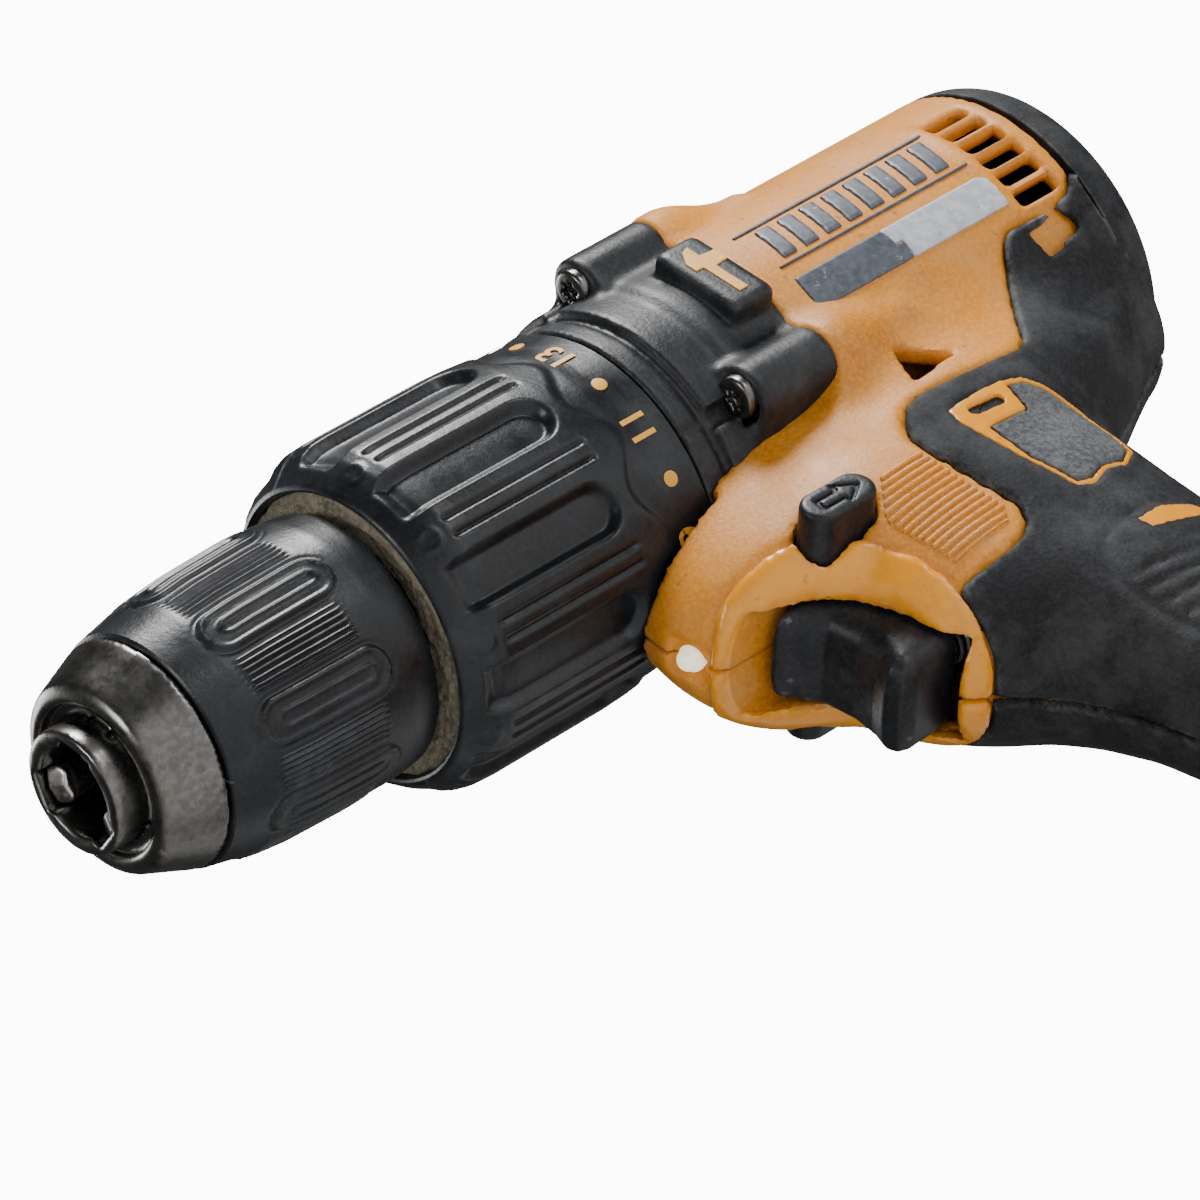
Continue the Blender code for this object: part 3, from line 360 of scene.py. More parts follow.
def surfaceMaterial(name, look):
    made, tree, shader = startMaterial(name)
    source = tree.nodes.new("ShaderNodeTexCoord").outputs["Object"]
    stretch = look.get("stretch")
    grain = noiseIn(tree, source, look["grain"], 3.0, 0.6, stretch)
    slow = noiseIn(tree, source, look.get("patch", 45.0), 5.0, 0.6)
    colour = mixOf(tree, rampOf(tree, slow, [(0.36, 0.0), (0.66, 1.0)]), look["colour"], look["second"])
    fleck = rampOf(tree, grain, [(0.40, 0.0), (0.70, 1.0)])
    colour = mixOf(tree, fleck, colour, look.get("fleck", look["second"]))
    if "wear" in look:
        edge = tree.nodes.new("ShaderNodeNewGeometry").outputs["Pointiness"]
        worn = rampOf(tree, edge, [(look.get("edge", 0.53), 0.0), (look.get("edge", 0.53) + 0.05, 1.0)])
        broken = rampOf(tree, noiseIn(tree, source, look.get("scuff", 190.0), 6.0, 0.7), [(0.42, 0.0), (0.62, 1.0)])
        both = mixOf(tree, broken, (0.0, 0.0, 0.0), worn)
        colour = mixOf(tree, both, colour, look["wear"])
    if "dust" in look:
        spots = rampOf(tree, noiseIn(tree, source, look.get("dustScale", 95.0), 8.0, 0.68),
                       [(look.get("dustFrom", 0.50), 0.0), (look.get("dustTo", 0.74), look.get("dustMost", 0.6))])
        colour = mixOf(tree, spots, colour, look["dust"])
    if "stain" in look:
        marks = rampOf(tree, noiseIn(tree, source, look.get("stainScale", 330.0), 6.0, 0.75),
                       [(0.62, 0.0), (0.70, 0.85)])
        colour = mixOf(tree, marks, colour, look["stain"])
    tree.links.new(colour, shader.inputs["Base Color"])
    dull, bright = look["rough"]
    tree.links.new(rampOf(tree, noiseIn(tree, source, look.get("patch", 45.0) * 2.7, 6.0, 0.65, stretch),
                          [(0.30, bright), (0.72, dull)]), shader.inputs["Roughness"])
    shader.inputs["Metallic"].default_value = look.get("metal", 0.0)
    shader.inputs["Specular IOR Level"].default_value = look.get("shine", 0.5)
    shader.inputs["Coat Weight"].default_value = look.get("coat", 0.0)
    shader.inputs["Coat Roughness"].default_value = 0.18
    bump = tree.nodes.new("ShaderNodeBump")
    bump.inputs["Strength"].default_value = look["bump"]
    bump.inputs["Distance"].default_value = look.get("deep", 0.0002)
    tree.links.new(grain, bump.inputs["Height"])
    second = tree.nodes.new("ShaderNodeBump")
    second.inputs["Strength"].default_value = look.get("wave", 0.12)
    second.inputs["Distance"].default_value = 0.0006
    tree.links.new(slow, second.inputs["Height"])
    tree.links.new(bump.outputs["Normal"], second.inputs["Normal"])
    tree.links.new(second.outputs["Normal"], shader.inputs["Normal"])
    if "coat" in look:
        tree.links.new(second.outputs["Normal"], shader.inputs["Coat Normal"])
    return made


def lightMaterial(name, colour, strength):
    made, tree, shader = startMaterial(name)
    source = tree.nodes.new("ShaderNodeTexCoord").outputs["Object"]
    ripple = noiseIn(tree, source, 900.0, 2.0)
    tree.links.new(rampOf(tree, ripple, [(0.3, (0.95, 0.85, 0.55)), (0.7, (1.0, 0.98, 0.9))]),
                   shader.inputs["Base Color"])
    shader.inputs["Emission Color"].default_value = (*colour, 1.0)
    shader.inputs["Emission Strength"].default_value = strength
    tree.links.new(rampOf(tree, ripple, [(0.3, 0.08), (0.7, 0.2)]), shader.inputs["Roughness"])
    return made


looks = {
    "yellowShell": {
        "colour": (0.60, 0.205, 0.004), "second": (0.46, 0.155, 0.006), "fleck": (0.66, 0.26, 0.016),
        "grain": 1500.0, "bump": 0.55, "deep": 0.00016, "rough": (0.62, 0.44), "patch": 38.0,
        "wear": (0.42, 0.20, 0.06), "edge": 0.535, "dust": (0.52, 0.29, 0.10), "dustMost": 0.42,
        "dustFrom": 0.46, "stain": (0.16, 0.085, 0.03), "shine": 0.45,
    },
    "yellowGloss": {
        "colour": (0.78, 0.29, 0.001), "second": (0.70, 0.25, 0.001), "fleck": (0.80, 0.31, 0.002),
        "grain": 600.0, "bump": 0.10, "rough": (0.42, 0.26), "patch": 60.0,
        "wear": (0.50, 0.24, 0.05), "edge": 0.56, "shine": 0.55, "coat": 0.25, "stain": (0.30, 0.14, 0.03),
    },
    "blackPlastic": {
        "colour": (0.0039, 0.0044, 0.0058), "second": (0.0066, 0.0075, 0.0094), "fleck": (0.0124, 0.0138, 0.0165),
        "grain": 1250.0, "bump": 0.45, "deep": 0.00016, "rough": (0.56, 0.36), "patch": 50.0,
        "wear": (0.085, 0.09, 0.10), "edge": 0.53, "dust": (0.075, 0.077, 0.083), "dustMost": 0.35,
        "shine": 0.32,
    },
    "clutchPlastic": {
        "colour": (0.0030, 0.0037, 0.0053), "second": (0.0050, 0.0063, 0.0080), "fleck": (0.0085, 0.0100, 0.0125),
        "grain": 1300.0, "bump": 0.30, "deep": 0.00014, "rough": (0.44, 0.27), "patch": 60.0,
        "wear": (0.10, 0.115, 0.13), "edge": 0.53, "dust": (0.07, 0.085, 0.10), "dustMost": 0.2,
        "shine": 0.34,
    },
    "softRubber": {
        "colour": (0.0049, 0.0054, 0.0064), "second": (0.0084, 0.0092, 0.0107), "fleck": (0.0161, 0.0173, 0.0193),
        "grain": 1700.0, "bump": 0.65, "deep": 0.00018, "rough": (0.80, 0.58), "patch": 42.0,
        "wear": (0.12, 0.125, 0.13), "edge": 0.525, "dust": (0.13, 0.135, 0.14), "dustMost": 0.3,
        "dustFrom": 0.44, "shine": 0.22,
    },
    "padRubber": {
        "colour": (0.0393, 0.0435, 0.0483), "second": (0.0630, 0.0672, 0.0714), "fleck": (0.1050, 0.1102, 0.1155),
        "grain": 1150.0, "bump": 1.0, "deep": 0.0004, "rough": (0.85, 0.62), "patch": 70.0,
        "dust": (0.25, 0.25, 0.25), "dustMost": 0.3, "shine": 0.3,
    },
    "darkSteel": {
        "colour": (0.145, 0.142, 0.136), "second": (0.105, 0.103, 0.10), "fleck": (0.18, 0.176, 0.17),
        "grain": 900.0, "bump": 0.16, "deep": 0.00008, "rough": (0.40, 0.22), "metal": 1.0, "patch": 80.0,
        "wear": (0.62, 0.60, 0.57), "edge": 0.54, "stain": (0.05, 0.045, 0.04), "dust": (0.20, 0.17, 0.13),
        "dustMost": 0.35, "wave": 0.05,
    },
    "brightSteel": {
        "colour": (0.55, 0.53, 0.50), "second": (0.38, 0.37, 0.35), "fleck": (0.62, 0.60, 0.58),
        "grain": 1500.0, "bump": 0.10, "deep": 0.00006, "rough": (0.42, 0.24), "metal": 1.0, "patch": 120.0,
        "stain": (0.14, 0.12, 0.10), "wave": 0.04,
    },
    "khakiDust": {
        "colour": (0.12, 0.105, 0.075), "second": (0.23, 0.20, 0.145), "fleck": (0.33, 0.29, 0.21),
        "grain": 1100.0, "bump": 0.9, "deep": 0.0003, "rough": (0.95, 0.8), "patch": 160.0, "shine": 0.2,
    },
    "labelLight": {
        "colour": (0.36, 0.38, 0.41), "second": (0.34, 0.36, 0.40), "fleck": (0.52, 0.54, 0.57),
        "grain": 700.0, "bump": 0.12, "rough": (0.5, 0.3), "patch": 90.0, "stain": (0.12, 0.12, 0.12),
        "stainScale": 500.0,
    },
    "labelDark": {
        "colour": (0.030, 0.040, 0.056), "second": (0.05, 0.06, 0.08), "fleck": (0.08, 0.09, 0.11),
        "grain": 900.0, "bump": 0.2, "rough": (0.55, 0.38), "patch": 120.0, "stain": (0.34, 0.32, 0.27),
        "stainScale": 520.0,
    },
    "dialYellow": {
        "colour": (0.80, 0.40, 0.03), "second": (0.66, 0.31, 0.03), "grain": 900.0, "bump": 0.1,
        "rough": (0.55, 0.4), "patch": 200.0, "stain": (0.12, 0.07, 0.02), "stainScale": 420.0,
    },
    "packPlastic": {
        "colour": (0.0058, 0.0061, 0.0068), "second": (0.0094, 0.0097, 0.0108), "fleck": (0.0162, 0.0169, 0.0180),
        "grain": 1100.0, "bump": 0.5, "deep": 0.00018, "rough": (0.6, 0.42), "patch": 40.0,
        "wear": (0.09, 0.09, 0.09), "dust": (0.10, 0.10, 0.10), "dustMost": 0.35,
    },
    "copperWinding": {
        "colour": (0.62, 0.27, 0.11), "second": (0.42, 0.16, 0.06), "grain": 800.0, "bump": 0.6,
        "stretch": (1.0, 6.0, 1.0), "rough": (0.45, 0.28), "metal": 0.9, "patch": 100.0,
    },
    "greenBoard": {
        "colour": (0.012, 0.10, 0.045), "second": (0.02, 0.15, 0.06), "grain": 500.0, "bump": 0.3,
        "rough": (0.5, 0.3), "patch": 300.0, "stain": (0.45, 0.33, 0.12), "stainScale": 420.0,
    },
    "cellWrap": {
        "colour": (0.03, 0.16, 0.34), "second": (0.025, 0.12, 0.27), "grain": 400.0, "bump": 0.08,
        "rough": (0.4, 0.25), "patch": 60.0, "coat": 0.2,
    },
}
shades = {name: surfaceMaterial(name, look) for name, look in looks.items()}
shades["lamp"] = lightMaterial("lamp", (1.0, 0.90, 0.62), 0.9)
print("materials", len(shades))

slotShades = {
    "yellow": "yellowShell", "black_plastic": "blackPlastic", "soft_grip": "softRubber", "steel": "brightSteel",
    "chuck_steel": "darkSteel", "dark_steel": "darkSteel", "winding": "copperWinding", "board": "greenBoard",
    "lens": "lamp", "cell": "cellWrap",
}


# The body: barrel, lower body, handle and foot as one field, blended where they meet.
sections = np.array([
    # level, front, rear, half width, squareness
    (-14.0, 44.0, 132.0, 16.0, 2.2),
    (-20.0, 33.6, 137.0, 18.6, 2.0),
    (-26.0, 30.4, 135.0, 20.0, 2.0),
    (-32.0, 30.0, 128.0, 20.5, 2.1),
    (-37.0, 31.2, 118.5, 20.6, 2.2),
    (-41.0, 34.2, 110.5, 20.5, 2.2),
    (-44.0, 39.6, 106.5, 20.2, 2.2),
    (-48.0, 46.2, 104.8, 19.4, 2.4),
    (-54.0, 49.0, 104.0, 18.6, 2.6),
    (-60.0, 50.6, 105.0, 17.2, 2.4),
    (-66.0, 53.6, 106.3, 16.2, 2.1),
    (-71.0, 59.8, 107.4, 15.7, 2.0),
    (-77.0, 65.0, 108.8, 15.4, 2.0),
    (-85.0, 69.4, 110.6, 15.3, 2.0),
    (-96.0, 72.4, 112.8, 15.6, 2.0),
    (-107.0, 73.6, 115.2, 16.8, 2.1),
    (-114.0, 71.0, 118.0, 20.0, 2.5),
    (-118.0, 66.0, 129.0, 27.0, 3.0),
    (-122.0, 59.0, 142.0, 33.0, 3.6),
    (-126.0, 57.0, 146.0, 34.8, 4.0),
    (-131.0, 56.0, 147.0, 35.0, 4.0),
    (-140.0, 56.0, 147.0, 35.0, 4.0),
])[::-1]

shell = {
    "barrel": 27.6, "front": 73.0, "rear": 129.6, "blend": 7.0, "wall": 3.0, "step": 0.75,
    "slotHalf": 9.3, "split": 0.06, "foot": -131.0, "recess": 1.2, "proud": 0.55, "rimEdge": 2.9,
    "box": ((0.0, 28.0, -134.0), (36.0, 149.0, 29.0)),
}
# side outlines, as (behind the rim, level)
blackLine = [
    (129.0, 40.0), (128.7, -12.0), (126.5, -14.0), (123.2, -14.8), (113.4, -14.7), (111.4, -16.0), (108.6, -19.6),
    (104.3, -25.5), (101.2, -29.9), (98.8, -31.5), (92.4, -31.6), (85.5, -31.3), (78.7, -31.0), (75.2, -31.9),
    (72.2, -34.6), (70.5, -37.7), (70.3, -41.1), (71.6, -46.7), (72.8, -52.4), (73.5, -55.7), (72.6, -58.2),
    (70.2, -59.7), (66.9, -60.1), (61.4, -59.6), (58.0, -59.4), (56.7, -61.0), (56.0, -64.0), (55.2, -67.2),
    (50.0, -70.5), (40.0, -107.5), (170.0, -107.5), (170.0, 40.0),
]
triggerSlot = [(20.0, -40.4), (65.0, -40.4), (64.6, -50.0), (64.0, -62.5), (56.0, -64.9), (20.0, -72.0)]
rimLine = [(29.0, -43.0), (35.4, -39.6), (41.2, -40.4), (47.0, -43.0), (51.8, -47.4), (54.6, -53.0), (55.4, -58.0),
           (55.4, -63.0), (54.8, -67.5)]
# the side pad's border, its inside, the rib panel and the strip on the handle
padOuter = [(79.0, -36.9), (85.2, -36.2), (90.3, -36.2), (94.0, -37.0), (96.6, -39.5), (99.6, -44.0), (100.2, -50.0),
            (98.6, -55.0), (94.0, -57.9), (90.2, -57.6), (86.4, -59.0), (83.4, -58.4), (81.0, -51.0), (79.4, -44.5),
            (78.4, -40.0)]
padInner = [(81.2, -42.6), (89.6, -42.0), (90.4, -37.0), (93.7, -37.6), (96.2, -40.0), (99.0, -44.4), (99.6, -50.0),
            (98.0, -54.5), (94.0, -57.2), (90.0, -56.9), (86.4, -58.2), (83.9, -57.6), (81.6, -50.6)]
lowPanel = [(83.0, -66.6), (90.5, -65.6), (96.5, -67.4), (99.5, -72.0), (102.0, -84.0), (103.0, -97.0), (99.0, -102.5),
            (86.0, -102.5), (80.5, -97.0), (77.0, -84.0), (75.2, -74.0), (78.2, -68.0)]
lowStrip = [(85.5, -67.6), (91.0, -66.9), (96.0, -68.4), (98.0, -72.0), (91.0, -71.2), (86.0, -70.2)]
grille = [(62.3, -40.0), (69.6, -40.3), (71.9, -55.0), (70.6, -57.2), (60.2, -57.2), (57.6, -46.0)]
sideWindow = [(84.0, -21.0), (90.2, -27.2), (81.2, -28.6)]
rearWindow = [(116.6, -16.6), (123.6, -15.6), (125.4, -18.6), (117.4, -20.4)]
lever = {"at": (52.6, -41.4), "reach": 3.1, "radius": 3.2, "left": 22.3, "right": 17.9, "bar": -41.2}
boss = {"x": 21.0, "l": 16.5, "r": 5.2, "front": 58.6, "seatR": 3.5, "screwR": 1.8}
vents = {"count": 6, "first": 13.0, "pitch": 7.9, "from": 118.6, "to": 126.0, "half": 1.25}
screwPlaces = [(46.0, -29.5), (98.0, -41.0), (80.0, -76.5), (99.0, -104.0), (82.0, -118.0)]


def sectionAt(levels, column):
    # one column of the sections, with its corners rounded over a few levels
    spread = np.linspace(-2.2, 2.2, 9)
    weights = np.cos(spread / 2.2 * np.pi / 2.4)
    total = sum(weight * np.interp(levels + offset, sections[:, 0], sections[:, column])
                for offset, weight in zip(spread, weights))
    return total / weights.sum()


def underField(x, s, l):
    front, rear, half, power = (sectionAt(l, column) for column in (1, 2, 3, 4))
    middle, reach = (front + rear) / 2, (rear - front) / 2
    along = (s - middle) / reach
    power = np.where(along < 0, power, np.clip(power, 2.0, 4.0))
    ratio = (np.abs(along) ** power + np.abs(x / half) ** power + 1e-9) ** (1 / power)
    return (ratio - 1.0) * np.minimum(half, 26.0)


def openBody(x, s, l):
    # the body with no floor under the foot
    barrel = softMax(softMax(np.hypot(x, l) - shell["barrel"], shell["front"] - s, 1.2), s - shell["rear"], 0.8)
    away = np.hypot(np.abs(x) - boss["x"], np.abs(l) - boss["l"])
    ridge = softMax(away - 5.5 + smoothStep(s, 76.0, 90.0) * 4.2, np.abs(s - 82.0) - 9.0, 1.2)
    barrel = softMin(barrel, ridge, 3.0)
    under = softMax(underField(x, s, l), l + 12.0, 2.0)
    return softMin(barrel, under, shell["blend"])


def pillField(s, l, spec, extra=0.0):
    (middle, level), reach, radius = spec["at"], spec["reach"], spec["radius"]
    return np.hypot(np.maximum(np.abs(s - middle) - reach, 0.0), l - level) - radius - extra


def cutOpenings(field, x, s, l, gap=0.0):
    slot = softMax(np.abs(x) - shell["slotHalf"] - gap, polygonField(triggerSlot, s, l), 0.6)
    field = softMax(field, -slot, 1.0)
    field = softMax(field, -pillField(s, l, lever, 0.45), 0.5)
    selectorRoom = np.maximum(np.maximum(np.abs(x) - 7.5, np.abs(s - 97.5) - 10.0), 15.0 - l)
    field = softMax(field, -selectorRoom, 0.6)
    towerRoom = np.maximum(np.maximum(np.abs(x) - 17.4, s - 82.0), l + 126.6)
    return np.maximum(field, -towerRoom)


def ventRooms(x, s, l):
    angle = np.degrees(np.arctan2(l, np.abs(x)))
    nearest = np.clip(np.round((vents["first"] - angle) / vents["pitch"]), 0, vents["count"] - 1)
    across = np.radians(angle - vents["first"] + nearest * vents["pitch"]) * np.hypot(x, l)
    middle, half = (vents["from"] + vents["to"]) / 2, (vents["to"] - vents["from"]) / 2
    return np.maximum(np.maximum(np.abs(across) - vents["half"], np.abs(s - middle) - half), 20.0 - np.hypot(x, l))


def shellPair(side):
    box, step = shell["box"], shell["step"]
    origin, x, s, l = gridIn(box, step)
    body = trueDistance(openBody(x, s, l), step)
    floor = shell["foot"] - l
    outside = softMax(body, floor, 2.4)
    black = polygonField(blackLine, s, l)
    slotNear = np.maximum(np.maximum(np.abs(x) - shell["slotHalf"], polygonField(triggerSlot, s, l)) - 2.4, s - 51.0)
    room = np.maximum(body + shell["wall"], -slotNear)
    turning = np.where(s > 60.0, 24.4, np.where(s > 48.6, 25.0, 27.0))
    hollow = -np.minimum(room, np.hypot(x, l) - turning)
    lampRoom = np.maximum(softMax(np.abs(x) - 3.0, np.abs(l + 34.7) - 2.7, 1.0), np.maximum(-(body + 1.5), s - 40.0))
    windows = np.maximum(polygonField(sideWindow, s, l), 12.0 - np.abs(x))
    rearHole = np.maximum(polygonField(rearWindow, s, l), 14.0 - np.abs(x))
    rimAway = lineField(rimLine, s, l)
    seam = shell["split"] + 0.35 * smoothStep(body, -0.9, -0.1)

    yellow = outside + shell["recess"] * smoothStep(-black, -0.05, 0.45)
    ridge = crease(s - 117.2, 0.7) * smoothStep(np.abs(np.degrees(np.arctan2(l, np.abs(x))) + 7), 30, 22)
    ridge = ridge * smoothStep(np.abs(x), 8.0, 12.0)
    yellow = yellow - 0.5 * ridge
    yellow = yellow + 0.5 * crease(rimAway - shell["rimEdge"], 0.5) * smoothStep(-black, 0.2, -0.6)
    yellow = np.maximum(yellow, hollow)
    yellow = cutOpenings(yellow, x, s, l)
    yellow = softMax(yellow, -ventRooms(x, s, l), 0.7)
    yellow = softMax(yellow, -windows, 0.5)
    yellow = softMax(yellow, -lampRoom, 0.6)
    yellow = np.maximum(yellow, seam - x)
    if side < 0:
        for station, level in screwPlaces:
            hole = np.maximum(np.hypot(s - station, l - level) - 3.5, 7.4 - x)
            yellow = softMax(yellow, -hole, 0.4)

    grip = softMax(body - shell["proud"], black + 0.35, 1.3)
    panel = polygonField(lowPanel, s, l)
    grip = grip + 0.45 * crease(panel, 0.55)
    grooves = crease(fromLines(l + 74.0 + (s - 88.0) * 0.25, 3.1), 0.6) * smoothStep(-panel, 0.9, 1.6)
    grip = grip + 0.55 * grooves * smoothStep(-l, 73.5, 75.0) * smoothStep(s, 97.0, 94.0)
    grip = grip + 0.8 * smoothStep(-polygonField(padOuter, s, l), -0.1, 0.35)
    grip = np.maximum(grip, -(body + shell["recess"] - 0.15))
    grip = cutOpenings(grip, x, s, l)
    grip = softMax(grip, -rearHole, 0.5)
    grip = softMax(grip, shell["rimEdge"] - rimAway, 0.5)
    grip = np.maximum(grip, seam - x)
    grip = np.maximum(grip, s - 129.4 - 40.0 * (np.hypot(x, l) > 27.9))

    rim = softMax(outside - 0.75, rimAway - 2.6, 1.0)
    rim = np.maximum(rim, -(body + 1.2))
    rim = cutOpenings(rim, x, s, l, -0.2)
    rim = np.maximum(rim, seam - x)
    return origin, step, yellow, grip, rim


def addShells():
    # the rim round the trigger opening has no CAD node of its own
    parts = (("housing", "yellowShell", "yellow"), ("grip", "softRubber", "soft_grip"), ("rim", "yellowGloss", None))
    for side, word in ((1, "left"), (-1, "right")):
        origin, step, *fields = shellPair(side)
        for (part, shade, slot), values in zip(parts, fields):
            name = f"{part}_{word}"
            points, faces = surfaceNet(closeEdges(values, step), origin, step)
            points[:, 0] *= side
            print(name, len(faces), "faces")
            addPiece("visual_" + name, points, [faces], shades[shade], node=name if slot else None, slot=slot,
                     smooth=50.0)


addShells()
print("body done")


# Clutch collar: scooped flutes, pairs of grooves between them, a wavy shoulder and a numbered band.
collar = {
    "flutes": 10, "phase": -9.6, "columns": 700, "row": 0.42, "fluteHalf": 4.3, "fluteFrom": -4.0, "fluteTo": 28.6,
    "depth": 1.9, "grooveAt": 1.35, "grooveDeep": 0.55, "bandR": 25.0, "shoulder": 36.6, "wave": 1.7,
}


def collarPiece():
    n, spec = collar["columns"], collar
    outer = np.array([(0.2, 21.9), (0.0, 22.3), (0.25, 22.9), (2.2, 24.3), (4.2, 25.6), (6.4, 26.35), (9.0, 26.5),
                      (30.0, 26.4), (34.0, 26.2), (47.0, 25.0), (47.4, 24.7)])
    stations = np.concatenate([[0.2, 0.0, 0.08, 0.25, 0.7], np.arange(1.2, 47.1, spec["row"]), [47.3, 47.4]])
    base = np.interp(stations, outer[1:, 0], outer[1:, 1])
    base[0] = 21.9
    angle = around(n)
    turn = np.degrees(angle) - spec["phase"]
    pitch = 360.0 / spec["flutes"]
    near = (turn + pitch / 2) % pitch - pitch / 2
    across = np.radians(near) * 26.0
    lobe = np.radians((turn % pitch) - pitch / 2) * 26.0
    s = stations[:, None]
    radii = base[:, None] * np.ones((1, n))
    along = np.maximum(np.maximum(spec["fluteFrom"] - s, s - spec["fluteTo"]), 0.0)
    flute = np.hypot(across[None, :], along) - spec["fluteHalf"]
    radii -= spec["depth"] * smoothStep(-flute, -0.1, 1.5) * smoothStep(s, 2.2, 5.0)
    inGrip = smoothStep(s, 6.2, 7.2) * smoothStep(s, 33.6, 32.4)
    for offset in (-spec["grooveAt"], spec["grooveAt"]):
        radii -= spec["grooveDeep"] * crease(lobe[None, :] - offset, 0.42) * inGrip
    radii += 0.22 * crease(np.hypot(lobe[None, :] * 0.8, s - 3.4) - 1.3, 0.3) * (s > 2.4)
    edge = spec["shoulder"] - spec["wave"] * np.cos(np.radians(near * spec["flutes"]))[None, :]
    step = smoothStep(s, edge - 0.3, edge + 1.6)
    band = spec["bandR"] + 0.35 * smoothStep(s, 43.0, 39.0)
    radii = np.where(s > 30, radii * (1 - step) + band * step, radii)
    inner = rounded([(47.4, 21.2), (12.2, 21.2), (12.2, 16.6), (8.2, 16.6), (5.0, 19.6), (1.2, 21.5)], 0.5, 3)
    radii = np.concatenate([radii, inner[:, 1][:, None] * np.ones((1, n))])
    stations = np.concatenate([stations, inner[:, 0]])
    points, faces = closedRing(radii, stations, n)
    addPiece("visual_collar", points, faces, shades["clutchPlastic"], body="clutch_collar", node="clutch_collar",
             slot="black_plastic", smooth=45.0)


dial = {"first": 11, "at": -28.8, "step": 39.0, "station": 42.9, "size": 5.9, "r": 25.02, "thick": 0.12}


def wrapped(name, text, angle, station, size, radius, thick):
    curve = bpy.data.curves.new(name, "FONT")
    curve.body = text
    curve.align_x = "CENTER"
    curve.align_y = "CENTER"
    curve.size = 1.0
    curve.extrude = 0.5
    curve.resolution_u = 6
    curve.offset = 0.018
    holder = bpy.data.objects.new(name, curve)
    bpy.context.scene.collection.objects.link(holder)
    bpy.context.view_layer.update()
    mesh = bpy.data.meshes.new_from_object(holder.evaluated_get(bpy.context.evaluated_depsgraph_get()))
    bpy.data.objects.remove(holder)
    work = bmesh.new()
    work.from_mesh(mesh)
    bmesh.ops.remove_doubles(work, verts=work.verts, dist=0.0001)
    bmesh.ops.subdivide_edges(work, edges=[e for e in work.edges if e.calc_length() > 0.25], cuts=2)
    bmesh.ops.triangulate(work, faces=work.faces)
    work.to_mesh(mesh)
    work.free()
    flat = np.empty(len(mesh.vertices) * 3, np.float32)
    mesh.vertices.foreach_get("co", flat)
    flat = flat.reshape(-1, 3)
    faces = np.empty(len(mesh.polygons) * 3, np.int32)
    mesh.polygons.foreach_get("vertices", faces)
    turn = np.radians(angle) + flat[:, 0] * size / radius
    out = radius + (flat[:, 2] + 0.4) * thick
    points = np.stack([out * np.cos(turn), station - flat[:, 1] * size, out * np.sin(turn)], -1)
    return points, faces.reshape(-1, 3)


def discPatch(angle, station, half, radius, thick):
    t = around(24)
    rows = []
    for reach, height in ((0.02, thick), (0.8, thick), (1.0, thick * 0.5), (1.0, -thick), (0.02, -thick)):
        turn = np.radians(angle) + np.cos(t) * half * reach / radius
        out = radius + height
        rows.append(np.stack([out * np.cos(turn), station + np.sin(t) * half * reach, out * np.sin(turn)], -1))
    return np.concatenate(rows), roundFaces(5, 24, True)


def dialMarks():
    points, faces, count = [], [], 0
    for number in range(1, 17, 2):
        angle = dial["at"] + (number - dial["first"]) / 2 * dial["step"]
        p, f = wrapped("digits", str(number), angle, dial["station"], dial["size"], dial["r"] + 0.1, dial["thick"])
        points.append(p)
        faces.append(f + count)
        count += len(p)
        p, f = discPatch(angle + dial["step"] / 2, dial["station"], 1.15, dial["r"] + 0.1, dial["thick"])
        points.append(p)
        faces.append(np.concatenate([f[:, [0, 1, 2]], f[:, [0, 2, 3]]]) + count)
        count += len(p)
    addPiece("dial_marks", np.concatenate(points), [np.concatenate(faces)], shades["dialYellow"],
             body="clutch_collar", smooth=30.0)


# Chuck sleeve: fine ribs in panels, with raised long outlines between them.
sleeve = {
    "panels": 8, "phase": -57.5, "columns": 900, "row": 0.5, "outline": 3.1, "from": -31.0, "to": -9.0,
    "ribPitch": 0.92, "ribHigh": 0.30,
}


